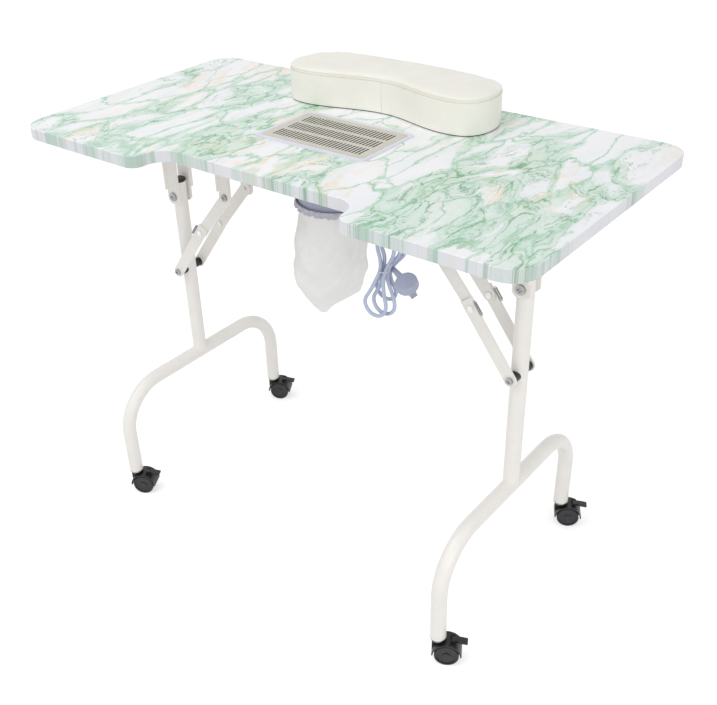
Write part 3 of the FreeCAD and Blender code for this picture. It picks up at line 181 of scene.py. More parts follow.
class Painter:
    """Builds one material's node tree round a Principled shader."""

    def __init__(self, name):
        self.material = bpy.data.materials.new(name)
        self.material.use_nodes = True
        self.tree = self.material.node_tree
        self.shader = self.tree.nodes["Principled BSDF"]
        self.place = self.tree.nodes.new("ShaderNodeTexCoord").outputs["Object"]

    def link(self, source, target):
        self.tree.links.new(source, target)

    def set(self, **values):
        for key, value in values.items():
            self.shader.inputs[key.replace("_", " ")].default_value = value

    def math(self, kind, first, second=0.0):
        node = self.tree.nodes.new("ShaderNodeMath")
        node.operation = kind
        for socket, value in zip(node.inputs, (first, second)):
            if isinstance(value, (int, float)):
                socket.default_value = value
            else:
                self.link(value, socket)
        return node.outputs[0]

    def mapped(self, vector, scale=(1, 1, 1), turn=0.0, shift=(0, 0, 0)):
        node = self.tree.nodes.new("ShaderNodeMapping")
        node.inputs["Scale"].default_value = scale
        node.inputs["Rotation"].default_value = (0, 0, turn)
        node.inputs["Location"].default_value = shift
        self.link(vector, node.inputs["Vector"])
        return node.outputs[0]

    def noise(self, vector, scale, detail=4.0, rough=0.55, distortion=0.0, colour=False):
        node = self.tree.nodes.new("ShaderNodeTexNoise")
        node.inputs["Scale"].default_value = scale
        node.inputs["Detail"].default_value = detail
        node.inputs["Roughness"].default_value = rough
        node.inputs["Distortion"].default_value = distortion
        self.link(vector, node.inputs["Vector"])
        return node.outputs["Color" if colour else "Fac"]

    def voronoi(self, vector, scale, feature="F1"):
        node = self.tree.nodes.new("ShaderNodeTexVoronoi")
        node.feature = feature
        node.inputs["Scale"].default_value = scale
        self.link(vector, node.inputs["Vector"])
        return node.outputs["Distance"]

    def ramp(self, value, low, high, start=0.0, end=1.0):
        node = self.tree.nodes.new("ShaderNodeMapRange")
        node.interpolation_type = "SMOOTHSTEP"
        limits = {"From Min": low, "From Max": high, "To Min": start, "To Max": end}
        for key, number in limits.items():
            node.inputs[key].default_value = number
        self.link(value, node.inputs["Value"])
        return node.outputs["Result"]

    def mix(self, amount, first, second):
        node = self.tree.nodes.new("ShaderNodeMix")
        node.data_type = "RGBA"
        for key, value in ((0, amount), (6, first), (7, second)):
            if isinstance(value, (int, float)):
                node.inputs[key].default_value = value
            elif isinstance(value, tuple):
                node.inputs[key].default_value = (*value[:3], 1)
            else:
                self.link(value, node.inputs[key])
        return node.outputs[2]

    def bump(self, height, strength, distance):
        node = self.tree.nodes.new("ShaderNodeBump")
        node.inputs["Strength"].default_value = strength
        node.inputs["Distance"].default_value = distance
        self.link(height, node.inputs["Height"])
        self.link(node.outputs[0], self.shader.inputs["Normal"])

    def normal_z(self):
        geometry = self.tree.nodes.new("ShaderNodeNewGeometry")
        split = self.tree.nodes.new("ShaderNodeSeparateXYZ")
        self.link(geometry.outputs["Normal"], split.inputs[0])
        return split.outputs["Z"]


def shade(colour, factor):
    return tuple(min(1.0, c * factor) for c in colour)


def plain_finish(name, colour, rough, vary, scale, grain, height=0.00003, strength=0.35, **more):
    """A plain surface: a slow change of colour and gloss with a fine grain."""
    p = Painter(name)
    slow = p.noise(p.place, scale, 5.0)
    p.link(p.mix(p.ramp(slow, 0.3, 0.7), shade(colour, 1 - vary), shade(colour, 1 + vary)),
           p.shader.inputs["Base Color"])
    gloss = p.noise(p.place, scale * 2.3, 3.0)
    p.link(p.ramp(gloss, 0.25, 0.75, rough * 0.85, min(1.0, rough * 1.2)),
           p.shader.inputs["Roughness"])
    p.bump(p.noise(p.place, grain, 3.0), strength, height)
    p.set(**more)
    return p.material


def marble_finish():
    """Printed marble film: white pebbles with mint, green and peach veins, long in the depth."""
    p = Painter("marble_film")
    flat = p.mapped(p.place, scale=(1, 1, 0))
    along = p.mapped(flat, scale=(1.0, 0.42, 1.0), turn=math.radians(14))
    sway = p.noise(p.mapped(along, shift=(3.1, 1.7, 0)), 6.0, 4.0, colour=True)
    ripple = p.noise(p.mapped(along, shift=(8.2, 4.4, 0)), 30.0, 6.0, 0.62, colour=True)

    def moved(base, warp, amount):
        centred = p.tree.nodes.new("ShaderNodeVectorMath")
        centred.operation = "SUBTRACT"
        centred.inputs[1].default_value = (0.5, 0.5, 0.5)
        p.link(warp, centred.inputs[0])
        add = p.tree.nodes.new("ShaderNodeVectorMath")
        add.operation = "MULTIPLY_ADD"
        add.inputs[1].default_value = (amount, amount, 0)
        p.link(centred.outputs[0], add.inputs[0])
        p.link(base, add.inputs[2])
        return add.outputs[0]

    warped = moved(moved(along, sway, 0.15), ripple, 0.036)
    broad = p.mapped(moved(along, sway, 0.06), scale=(1, 0.75, 1), shift=(0.62, 0.35, 0))
    bands = p.noise(broad, 9.5, 2.0, 0.5)
    cloud = p.noise(p.mapped(warped, shift=(2.3, 5.1, 0)), 26.0, 7.0, 0.62)
    grain = p.noise(p.mapped(warped, shift=(7.7, 2.1, 0)), 90.0, 6.0, 0.7)
    width = p.ramp(bands, 0.36, 0.68, 0.05, 0.30)
    cells = p.voronoi(warped, 19.0, "DISTANCE_TO_EDGE")
    ragged = p.math("ADD", cells, p.math("MULTIPLY", p.math("SUBTRACT", cloud, 0.47), 0.40))
    ratio = p.math("DIVIDE", ragged, width)
    mint = p.math("MULTIPLY", p.ramp(ratio, 0.05, 1.25, 1.0, 0.0),
                  p.ramp(grain, 0.30, 0.62, 0.55, 1.0))
    near_band = p.ramp(bands, 0.40, 0.58)
    speckle = p.ramp(grain, 0.45, 0.58)
    edge = p.ramp(p.math("ABSOLUTE", p.math("SUBTRACT", ratio, 0.70)), 0.0, 0.16, 1.0, 0.0)
    core = p.ramp(cells, 0.0, 0.030, 1.0, 0.0)
    fine_cells = p.voronoi(p.mapped(warped, shift=(4.0, 2.0, 0)), 46.0, "DISTANCE_TO_EDGE")
    fine_rim = p.ramp(fine_cells, 0.0, 0.07, 1.0, 0.0)
    thread_noise = p.noise(p.mapped(warped, shift=(6.0, 9.0, 0)), 22.0, 8.0, 0.68)
    thread = p.ramp(p.math("ABSOLUTE", p.math("SUBTRACT", thread_noise, 0.5)),
                    0.0, 0.022, 1.0, 0.0)
    peach_noise = p.noise(p.mapped(warped, shift=(12.0, 3.0, 0)), 17.0, 7.0, 0.64)
    peach = p.ramp(p.math("ABSOLUTE", p.math("SUBTRACT", peach_noise, 0.48)),
                   0.0, 0.040, 1.0, 0.0)
    peach_where = p.ramp(p.noise(p.mapped(along, shift=(1.5, 7.0, 0)), 9.0, 3.0), 0.46, 0.60)

    paper = p.mix(p.ramp(cloud, 0.40, 0.62), linear(251, 251, 254), linear(243, 246, 249))
    colour = p.mix(p.math("MULTIPLY", p.math("MULTIPLY", peach, peach_where), 0.72), paper,
                   linear(251, 228, 192))
    colour = p.mix(p.math("MULTIPLY", mint, 0.74), colour, linear(186, 224, 200))
    veins = (
        (p.math("MULTIPLY", edge, p.ramp(cloud, 0.38, 0.60)), 0.42, (150, 206, 168)),
        (p.math("MULTIPLY", core, p.ramp(cloud, 0.34, 0.52)), 0.62, (142, 199, 160)),
        (p.math("MULTIPLY", fine_rim, mint), 0.62, (128, 188, 147)),
        (p.math("MULTIPLY", p.math("MULTIPLY", thread, near_band), speckle), 0.85, (84, 156, 106)),
        (p.math("MULTIPLY", p.math("MULTIPLY", fine_rim, near_band),
                p.math("MULTIPLY", mint, speckle)), 0.90, (84, 152, 104)),
    )
    for amount, strength, ink in veins:
        colour = p.mix(p.math("MULTIPLY", amount, strength), colour, linear(*ink))
    # painted shade: side faces (normal neither up nor down) are mixed towards grey, darker than the
    # top as if lit from above
    up = p.normal_z()
    side = p.math("SUBTRACT", 1.0, p.ramp(p.math("ABSOLUTE", up), 0.3, 0.8))
    colour = p.mix(p.math("MULTIPLY", side, 0.38), colour, linear(196, 196, 206))
    board = p.mix(p.noise(p.place, 240.0, 6.0, 0.7), linear(228, 226, 222), linear(240, 239, 236))
    colour = p.mix(p.math("LESS_THAN", up, -0.5), colour, board)
    p.link(colour, p.shader.inputs["Base Color"])
    p.link(p.ramp(cloud, 0.3, 0.7, 0.30, 0.40), p.shader.inputs["Roughness"])
    p.bump(p.noise(p.place, 420.0, 4.0), 0.12, 0.00005)
    p.set(Coat_Weight=0.15, Coat_Roughness=0.25)
    return p.material


def grille_finish():
    """Beige coat on the face of the grille; its slot walls and cut edges are coloured dark grey as
    painted shade.
    """
    p = Painter("grille_beige")
    slow = p.noise(p.place, 70.0, 5.0)
    coat = p.mix(p.ramp(slow, 0.3, 0.7), linear(205, 202, 190), linear(214, 211, 200))
    # painted shade: faces that point neither up nor down (slot walls, rim) turn dark grey to stand
    # for shade in the slots
    edge = p.ramp(p.math("ABSOLUTE", p.normal_z()), 0.5, 0.8, 1.0, 0.0)
    p.link(p.mix(edge, coat, linear(58, 58, 62)), p.shader.inputs["Base Color"])
    p.link(p.ramp(slow, 0.25, 0.75, 0.38, 0.50), p.shader.inputs["Roughness"])
    p.bump(p.noise(p.place, 1500.0, 3.0), 0.35, 0.00004)
    p.set(Metallic=0.15)
    return p.material


def leather_finish():
    """Ivory soft vinyl with a fine pebble grain."""
    p = Painter("ivory_leather")
    pebble = p.voronoi(p.place, 620.0)
    slow = p.noise(p.place, 22.0, 4.0)
    creases = p.noise(p.mapped(p.place, scale=(1, 1, 1.6)), 75.0, 5.0, 0.6)
    tone = p.mix(p.ramp(slow, 0.3, 0.7), linear(244, 242, 232), linear(248, 246, 238))
    p.link(p.mix(p.ramp(pebble, 0.0, 0.6, 0.10, 0.0), tone, linear(206, 202, 186)),
           p.shader.inputs["Base Color"])
    p.link(p.ramp(pebble, 0.1, 0.7, 0.56, 0.44), p.shader.inputs["Roughness"])
    p.bump(p.math("ADD", p.math("MULTIPLY", pebble, 0.5), p.math("MULTIPLY", creases, 0.5)),
           0.22, 0.00020)
    p.set(Sheen_Weight=0.05, Sheen_Roughness=0.5)
    return p.material


def fabric_finish():
    """Spun filter cloth: pale, with small embossed dots and loose fibres."""
    p = Painter("filter_cloth")
    fibres = p.noise(p.mapped(p.place, scale=(1, 1, 0.35), turn=0.4), 420.0, 7.0, 0.72, 1.2)
    dots = p.voronoi(p.place, 560.0)
    tone = p.mix(p.ramp(fibres, 0.32, 0.68), linear(246, 246, 245), linear(252, 252, 250))
    p.link(p.mix(p.ramp(dots, 0.0, 0.35, 0.35, 0.0), tone, linear(240, 240, 240)),
           p.shader.inputs["Base Color"])
    p.link(p.ramp(fibres, 0.3, 0.7, 0.88, 0.72), p.shader.inputs["Roughness"])
    p.bump(p.math("ADD", fibres, p.math("MULTIPLY", dots, 0.6)), 0.35, 0.00015)
    p.set(Sheen_Weight=0.2, Sheen_Roughness=0.6, Specular_IOR_Level=0.25)
    return p.material


def steel_finish(name, colour, rough):
    """Zinc plate: short directional scratches and cloudy patches over bright metal."""
    p = Painter(name)
    scratch = p.noise(p.mapped(p.place, scale=(1, 1, 9)), 500.0, 6.0, 0.7)
    cloudy = p.noise(p.place, 90.0, 4.0)
    p.link(p.mix(p.ramp(cloudy, 0.3, 0.7), shade(colour, 0.82), shade(colour, 1.08)),
           p.shader.inputs["Base Color"])
    p.link(p.ramp(scratch, 0.3, 0.7, rough * 0.7, rough * 1.4), p.shader.inputs["Roughness"])
    p.bump(scratch, 0.3, 0.00004)
    p.set(Metallic=0.9)
    return p.material


# painted shade: the lead's grey-blue tone is darker than its pale jacket, standing in for the shade
# under the top
CORD_COLOUR = linear(190, 199, 222)
FINISH = {
    "marble": marble_finish(),
    "bezel": plain_finish("bezel_white", linear(226, 227, 236), 0.38, 0.02, 40, 1200),
    "grille": grille_finish(),
    # painted shade: the housing's grey-blue tone is darker than its pale plastic, standing in for
    # the shade under the top
    "housing": plain_finish("housing_moulded", linear(170, 174, 196), 0.45, 0.05, 35, 1400, 0.00005),
    "black": plain_finish("black_moulded", linear(20, 20, 22), 0.40, 0.14, 50, 1100, 0.00006),
    "wheel": plain_finish("wheel_moulded", linear(38, 38, 41), 0.50, 0.16, 60, 900, 0.00008),
    "tube": plain_finish("powder_coat", linear(248, 245, 240), 0.36, 0.014, 30, 620, 0.00007,
                         strength=0.5, Coat_Weight=0.2, Coat_Roughness=0.2),
    "motor": steel_finish("motor_core", linear(120, 112, 104), 0.45),
    "zinc": steel_finish("zinc_plate", linear(172, 172, 172), 0.30),
    "rivet": steel_finish("rivet_steel", linear(226, 226, 222), 0.30),
    "leather": leather_finish(),
    "board": plain_finish("black_board", linear(30, 29, 30), 0.8, 0.2, 120, 700, 0.0002),
    "cloth": fabric_finish(),
    "elastic": plain_finish("elastic_band", linear(205, 203, 213), 0.85, 0.10, 240, 1600, 0.0002),
    "cord": plain_finish("cord_jacket", CORD_COLOUR, 0.46, 0.05, 70, 1300, 0.00004),
    # painted shade: the plug's grey-blue tone is darker than its pale plastic, standing in for the
    # shade under the top
    "plug": plain_finish("plug_moulded", linear(174, 181, 204), 0.5, 0.06, 60, 1100, 0.00006),
    "tie": plain_finish("twist_tie", linear(206, 210, 222), 0.5, 0.06, 200, 1500, 0.00005),
    "thread": plain_finish("thread", linear(222, 216, 194), 0.8, 0.08, 500, 2500, 0.0001),
    "clear": plain_finish("clear_cap", linear(205, 212, 226), 0.22, 0.02, 60, 700, 0.00003,
                          Transmission_Weight=0.55, IOR=1.46),
}


def finish_of(node):
    """Which finish a carried-over CAD node takes."""
    parts = (
        ("table_top", "marble"), ("bezel", "bezel"), ("grille", "grille"),
        ("housing_screws", "zinc"), ("housing", "housing"), ("stator", "motor"),
        ("fan_screws", "zinc"), ("fan_", "black"),
        ("switch", "black"), ("gland", "black"), ("plug_cap", "clear"), ("plug_pins", "zinc"),
        ("plug_body", "plug"), ("cord", "cord"), ("bracket_screws", "zinc"), ("bracket", "tube"),
        ("pivot_bolts", "zinc"), ("stay_bolts", "zinc"), ("rivets", "rivet"), ("springs", "zinc"),
        ("spacers", "black"), ("tube_cap", "black"), ("stems", "zinc"), ("wheels", "wheel"),
        ("caster", "black"), ("wrist_board", "board"), ("wrist_cushion", "leather"),
        ("elastic", "elastic"), ("dust_bag", "cloth"), ("leg_upright", "tube"),
        ("foot_tube", "tube"), ("stays", "tube"),
    )
    return next(finish for key, finish in parts if key in node)


for name, node in NODES.items():
    node.data.materials.clear()
    node.data.materials.append(FINISH[finish_of(name)])
    for polygon in node.data.polygons:
        polygon.material_index = 0


# ---- helpers for the built pieces ---------------------------------------------------------------
def smoothed(points, count):
    """Points along a Catmull-Rom curve through the given ones, count in all."""
    points = np.array(points, float)
    last = len(points) - 1
    out = []
    for at in np.linspace(0, last, count):
        i = min(int(at), last - 1)
        t = at - i
        a, b, c, d = (points[min(max(k, 0), last)] for k in (i - 1, i, i + 1, i + 2))
        out.append(0.5 * (2 * b + (c - a) * t + (2 * a - 5 * b + 4 * c - d) * t * t
                          + (3 * b - a - 3 * c + d) * t ** 3))
    return np.array(out)


def shade_smooth(mesh):
    mesh.polygons.foreach_set("use_smooth", [True] * len(mesh.polygons))


def ring_mesh(name, rings, cap_start=False, cap_end=False):
    """A mesh of closed rings of equal count, joined in order."""
    mesh = bpy.data.meshes.new(name)
    work = bmesh.new()
    rows = [[work.verts.new(point) for point in ring] for ring in rings]
    count = len(rows[0])
    for low, high in zip(rows, rows[1:]):
        for k in range(count):
            work.faces.new((low[k], low[(k + 1) % count], high[(k + 1) % count], high[k]))
    for wanted, row, flip in ((cap_start, rows[0], True), (cap_end, rows[-1], False)):
        if wanted:
            face = work.faces.new(list(reversed(row)) if flip else row)
            bmesh.ops.triangulate(work, faces=[face])
    bmesh.ops.recalc_face_normals(work, faces=work.faces)
    work.to_mesh(mesh)
    work.free()
    shade_smooth(mesh)
    return mesh


def place_piece(mesh, name, finish):
    piece = shown(name, mesh)
    mesh.materials.append(FINISH[finish])
    return piece


def tube_rings(line, radius, sides):
    """Rings round a polyline, kept from twisting."""
    line = [Vector(point) for point in line]
    side = None
    rings = []
    for i, point in enumerate(line):
        way = (line[min(i + 1, len(line) - 1)] - line[max(i - 1, 0)]).normalized()
        if side is None:
            side = way.orthogonal().normalized()
        side = (side - way * side.dot(way)).normalized()
        other = way.cross(side)
        rings.append([point + radius * (math.cos(TURN * k / sides) * side
                                        + math.sin(TURN * k / sides) * other)
                      for k in range(sides)])
    return rings


def joined(meshes, name):
    """Several meshes as one."""
    work = bmesh.new()
    for mesh in meshes:
        work.from_mesh(mesh)
        bpy.data.meshes.remove(mesh)
    whole = bpy.data.meshes.new(name)
    work.to_mesh(whole)
    work.free()
    shade_smooth(whole)
    return whole


def add_modifier(piece, kind, **values):
    modifier = piece.modifiers.new(kind.lower(), kind)
    for key, value in values.items():
        setattr(modifier, key, value)
    return modifier


def applied(piece):
    """Makes the piece's evaluated mesh its own, shaded smooth and with no modifier left."""
    made = bpy.data.meshes.new_from_object(
        piece.evaluated_get(bpy.context.evaluated_depsgraph_get()))
    piece.modifiers.clear()
    piece.data = made
    shade_smooth(made)


CLOTH_PRESSURE = 4.0
CLOTH_FRAMES = 20
CLOTH_STRETCH_STIFFNESS = 40
CLOTH_BEND_STIFFNESS = 2


def inflate(piece, pinned, most):
    """Cloth under pressure with some points held, then each point's way is kept below a limit."""
    start = np.array([v.co for v in piece.data.vertices])
    group = piece.vertex_groups.new(name="held")
    group.add([int(i) for i in pinned], 1.0, "REPLACE")
    cloth = add_modifier(piece, "CLOTH")
    cloth.settings.vertex_group_mass = "held"
    cloth.settings.use_pressure = True
    cloth.settings.uniform_pressure_force = CLOTH_PRESSURE
    cloth.settings.tension_stiffness = CLOTH_STRETCH_STIFFNESS
    cloth.settings.compression_stiffness = CLOTH_STRETCH_STIFFNESS
    cloth.settings.bending_stiffness = CLOTH_BEND_STIFFNESS
    cloth.settings.effector_weights.gravity = 0
    cloth.collision_settings.use_collision = False
    cloth.point_cache.frame_end = CLOTH_FRAMES
    scene = bpy.context.scene
    for number in range(1, CLOTH_FRAMES + 1):
        scene.frame_set(number)
    swollen = piece.evaluated_get(bpy.context.evaluated_depsgraph_get())
    end = np.array([v.co for v in swollen.data.vertices])
    piece.modifiers.clear()
    scene.frame_set(1)
    way = end - start
    length = np.linalg.norm(way, axis=1, keepdims=True)
    way = way * np.minimum(1.0, most / np.maximum(length, 1e-9))
    piece.data.vertices.foreach_set("co", (start + way).ravel())
    piece.data.update()


# ---- wrist rest cushion -------------------------------------------------------------------------
CUSHION_AROUND = 220
# each ring's distance in from the outline and height over the cushion's floor, in millimetres
CUSHION_RINGS = (
    (14.0, 0.4), (1.25, 0.3), (1.2, -3.2), (0.5, -3.9), (-0.1, -3.3), (-0.3, 1.0), (-0.6, 10.0),
    (-0.9, 20.0), (-1.0, 29.5), (-0.6, 38.0), (0.0, 44.1), (1.2, 46.8), (0.1, 48.0), (0.2, 49.8),
    (1.5, 51.4), (4.2, 52.3), (9.0, 52.8),
)
CUSHION_HELD = (0, 1, 2, 3, 4, 11)  # the lowest rings, round the board's edge, and the top seam
# each ring's share of the way from the last one to the crown's spine, and its height
CUSHION_TOP = ((0.14, 53.1), (0.27, 53.4), (0.40, 53.6), (0.53, 53.8), (0.66, 53.9), (0.79, 54.0),
               (0.90, 54.0))
CUSHION_SPINE = 0.72
CUSHION_SWELL = 1.6 * MM
STITCH_PITCH = 4.2 * MM
STITCH_HEIGHT = 44.5 * MM
THREAD_RADIUS = 0.45 * MM
SEAM_BOTTOM = -2.5
SEAM_TOP = 45.5
SEAM_BULGE = 0.75


def node_outline(node, count):
    """The outline of a node's lowest face, seen from above, evenly spaced."""
    points = np.array([v.co for v in NODES[node].data.vertices])
    low = points[points[:, 2] < points[:, 2].min() + 0.00005][:, :2]
    low = np.unique(np.round(low, 6), axis=0)
    middle = (low.min(0) + low.max(0)) / 2
    turn = np.arctan2((low[:, 1] - middle[1]) * 2.5, low[:, 0] - middle[0])
    low = low[np.argsort(turn)]
    ring = np.vstack([low, low[:1]])
    along = np.concatenate([[0], np.cumsum(np.linalg.norm(np.diff(ring, axis=0), axis=1))])
    at = np.linspace(0, along[-1], count, endpoint=False)
    out = np.stack([np.interp(at, along, ring[:, k]) for k in (0, 1)], axis=1)
    for _ in range(2):
        out = (np.roll(out, 1, 0) + 2 * out + np.roll(out, -1, 0)) / 4
    return out


def inward(outline):
    """Unit normals that point into a counter-clockwise outline."""
    way = np.roll(outline, -1, 0) - np.roll(outline, 1, 0)
    way /= np.linalg.norm(way, axis=1, keepdims=True)
    return np.stack([-way[:, 1], way[:, 0]], axis=1)


def make_cushion():
    outline = node_outline("wrist_cushion", CUSHION_AROUND)
    normals = inward(outline)
    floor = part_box("wrist_cushion")[0].z
    half = outline[:, 0].max()
    middle_y = (outline[:, 1].min() + outline[:, 1].max()) / 2
    rings = []
    for inset, height in CUSHION_RINGS:
        flat = outline + normals * inset * MM
        rings.append([(x, y, floor + height * MM) for x, y in flat])
    inner = outline + normals * CUSHION_RINGS[-1][0] * MM
    front = inner[inner[:, 1] < middle_y]
    back = inner[inner[:, 1] >= middle_y]
    front = front[np.argsort(front[:, 0])]
    back = back[np.argsort(back[:, 0])]
    spine_x = np.clip(inner[:, 0], -CUSHION_SPINE * half, CUSHION_SPINE * half)
    spine_y = (np.interp(spine_x, front[:, 0], front[:, 1])
               + np.interp(spine_x, back[:, 0], back[:, 1])) / 2
    spine = np.stack([spine_x, spine_y], axis=1)
    for share, height in CUSHION_TOP:
        flat = inner + (spine - inner) * share
        rings.append([(x, y, floor + height * MM) for x, y in flat])
    mesh = ring_mesh("wrist_rest_pad", rings, True, True)
    piece = place_piece(mesh, "wrist_rest_pad", "leather")
    held = [r * CUSHION_AROUND + k for r in CUSHION_HELD for k in range(CUSHION_AROUND)]
    inflate(piece, held, CUSHION_SWELL)
    add_modifier(piece, "SUBSURF", levels=1, render_levels=1)
    applied(piece)
    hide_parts("wrist_cushion")
    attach(piece, "wrist_rest")
    make_stitching(outline, normals, floor)


def make_stitching(outline, normals, floor):
    """A row of stitches under the top seam, and the seam where the side band is closed."""
    proud = outline - normals * 0.15 * MM
    ring = np.vstack([proud, proud[:1]])
    along = np.concatenate([[0], np.cumsum(np.linalg.norm(np.diff(ring, axis=0), axis=1))])
    stitches = []
    count = int(along[-1] / STITCH_PITCH)
    for i in range(count):
        ends = [(i + share) * along[-1] / count for share in (0.18, 0.34, 0.5, 0.66, 0.82)]
        lift = (-0.30, 0.12, 0.22, 0.12, -0.30)
        line = []
        for at, out in zip(ends, lift):
            x, y = (np.interp(at, along, ring[:, k]) for k in (0, 1))
            nx, ny = (np.interp(at, along, np.append(normals[:, k], normals[0, k]))
                      for k in (0, 1))
            line.append((x - nx * out * MM, y - ny * out * MM, floor + STITCH_HEIGHT))
        stitches.append(ring_mesh("stitch", tube_rings(line, THREAD_RADIUS, 6), True, True))
    middle = int(np.argmin(np.hypot(outline[:, 0], outline[:, 1] - outline[:, 1].min() - 0.02)))
    x, y = outline[middle] - normals[middle] * SEAM_BULGE * MM
    rise = np.linspace(SEAM_BOTTOM, SEAM_TOP, 40)
    bulge = [SEAM_BULGE * math.sin(math.pi * (z - SEAM_BOTTOM) / (SEAM_TOP - SEAM_BOTTOM))
             for z in rise]
    line = [(x - normals[middle][0] * (b - SEAM_BULGE) * MM,
             y - normals[middle][1] * (b - SEAM_BULGE) * MM, floor + z * MM)
            for z, b in zip(rise, bulge)]
    stitches.append(ring_mesh("seam", tube_rings(line, THREAD_RADIUS, 8), True, True))
    name = "wrist_rest_stitching"
    piece = place_piece(joined(stitches, name), name, "thread")
    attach(piece, "wrist_rest")


make_cushion()


# ---- dust bag -----------------------------------------------------------------------------------
BAG_TURN = math.radians(VIEW_AZIMUTH)
BAG_ACROSS = Vector((math.cos(BAG_TURN), math.sin(BAG_TURN), 0))
BAG_DEPTH = Vector((math.sin(BAG_TURN), -math.cos(BAG_TURN), 0))
# the outline seen from the camera's side, across and up, and half the depth, in millimetres
BAG_LEFT = ((-62.6, 603), (-61.8, 596), (-59.5, 584), (-62, 560), (-67, 535), (-71, 512),
            (-73, 488), (-69, 460), (-58, 435.6), (-46, 418), (-32, 403.5))
BAG_RIGHT = ((62.6, 603), (61.8, 596), (58, 582), (51, 560), (45, 538), (43, 519), (44.5, 505),
             (46.5, 486), (41.5, 468), (37.0, 453), (33, 438.3))
BAG_THICK = (62.6, 61.8, 59.5, 55, 50, 45, 39, 31, 22, 11, 1.6)
BAG_RINGS = 64
BAG_AROUND = 96
BAG_CLOTH = 0.6 * MM
BAG_GATHERS = 34


def wrinkle(s, d, z):
    """How far the cloth stands out at a place across, in depth and up, in millimetres."""
    broad = noise.noise(Vector((s * 0.034 + z * 0.022, d * 0.030, z * 0.012 - s * 0.02))) * 5.2
    crease = abs(noise.noise(Vector((s * 0.05 - z * 0.035, d * 0.05 + 9, z * 0.03)))) * 3.4
    fine = noise.noise(Vector((s * 0.12, d * 0.12, z * 0.07 + 4))) * 1.3
    return broad + crease + fine


def make_bag():
    left = smoothed(BAG_LEFT, BAG_RINGS)
    right = smoothed(BAG_RIGHT, BAG_RINGS)
    thick = smoothed([(t, 0) for t in BAG_THICK], BAG_RINGS)[:, 0]
    rings = []
    for i in range(BAG_RINGS):
        share = i / (BAG_RINGS - 1)
        slack = min(1.0, max(0.0, (share - 0.06) / 0.25))
        ring = []
        for k in range(BAG_AROUND):
            turn = TURN * k / BAG_AROUND
            s, z = (left[i] + right[i]) / 2 + (right[i] - left[i]) / 2 * math.cos(turn)
            d = thick[i] * math.sin(turn)
            sag = -6.0 * share ** 6 * math.exp(-((s + 23) / 8) ** 2)
            point = BAG_ACROSS * s + BAG_DEPTH * d + Vector((0, 0, z + sag))
            uneven = 2 * noise.noise(Vector((turn * 3, 0, 0)))
            gather = 0.9 * math.cos(BAG_GATHERS * turn + uneven)
            out = BAG_ACROSS * math.cos(turn) + BAG_DEPTH * math.sin(turn)
            room = min(1.0, thick[i] / 24)
            point += out * (wrinkle(s, d, z) * slack * room + gather * (1 - slack))
            ring.append(point * MM)
        rings.append(ring)
    piece = place_piece(ring_mesh("filter_bag", rings, False, True), "filter_bag", "cloth")
    add_modifier(piece, "SOLIDIFY", thickness=BAG_CLOTH, offset=-1)
    add_modifier(piece, "SUBSURF", levels=1, render_levels=1)
    applied(piece)
    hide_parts("dust_bag")
    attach(piece, "dust_bag")
    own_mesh(piece)


HEM_AROUND = 288
HEM_WAVES = 40
HEM_CLOTH = 0.7 * MM
# each ring's rise over the elastic's lowest point, its distance out and its wave, in millimetres
HEM_RINGS = ((6.6, -0.3, 0.3), (5.8, 0.5, 0.6), (4.2, 0.9, 0.9), (2.4, 1.1, 1.3), (0.6, 1.3, 2.0),
             (-1.2, 1.6, 2.6), (-2.4, 1.8, 3.0))


def make_elastic():
    """The bag's gathered elastic hem round the collar."""
    low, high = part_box("bag_elastic")
    radius = (high.x - low.x) / 2
    rings = []
    for rise, out, wave in HEM_RINGS:
        ring = []
        for k in range(HEM_AROUND):
            turn = TURN * k / HEM_AROUND
            uneven = 2.4 * noise.noise(Vector((math.cos(turn) * 4, math.sin(turn) * 4, 0)))
            phase = HEM_WAVES * turn + uneven
            reach = radius + (out + wave * 0.55 * math.cos(phase)) * MM
            z = low.z + (rise + wave * 0.35 * math.sin(phase * 0.5)) * MM
            ring.append((reach * math.cos(turn), reach * math.sin(turn), z))
        rings.append(ring)
    piece = place_piece(ring_mesh("bag_hem", rings), "bag_hem", "elastic")
    add_modifier(piece, "SOLIDIFY", thickness=HEM_CLOTH, offset=-1)
    applied(piece)
    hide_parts("bag_elastic")
    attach(piece, "dust_bag")


make_bag()
make_elastic()


# ---- mains lead ---------------------------------------------------------------------------------
CORD_DIAMETER = 5.6 * MM
FOLD_RADIUS = 3.5 * CORD_DIAMETER / MM
FOLD_STEPS = 5


def fold(x, z, depths, start, sweep):
    """Points round one fold of the hank, about x and z, in millimetres; depths are its two ends'."""
    points = []
    for i in range(FOLD_STEPS + 1):
        turn = math.radians(start + sweep * i / FOLD_STEPS)
        points.append((x + FOLD_RADIUS * math.cos(turn),
                       depths[0] + (depths[1] - depths[0]) * i / FOLD_STEPS,
                       z + FOLD_RADIUS * math.sin(turn)))
    return points


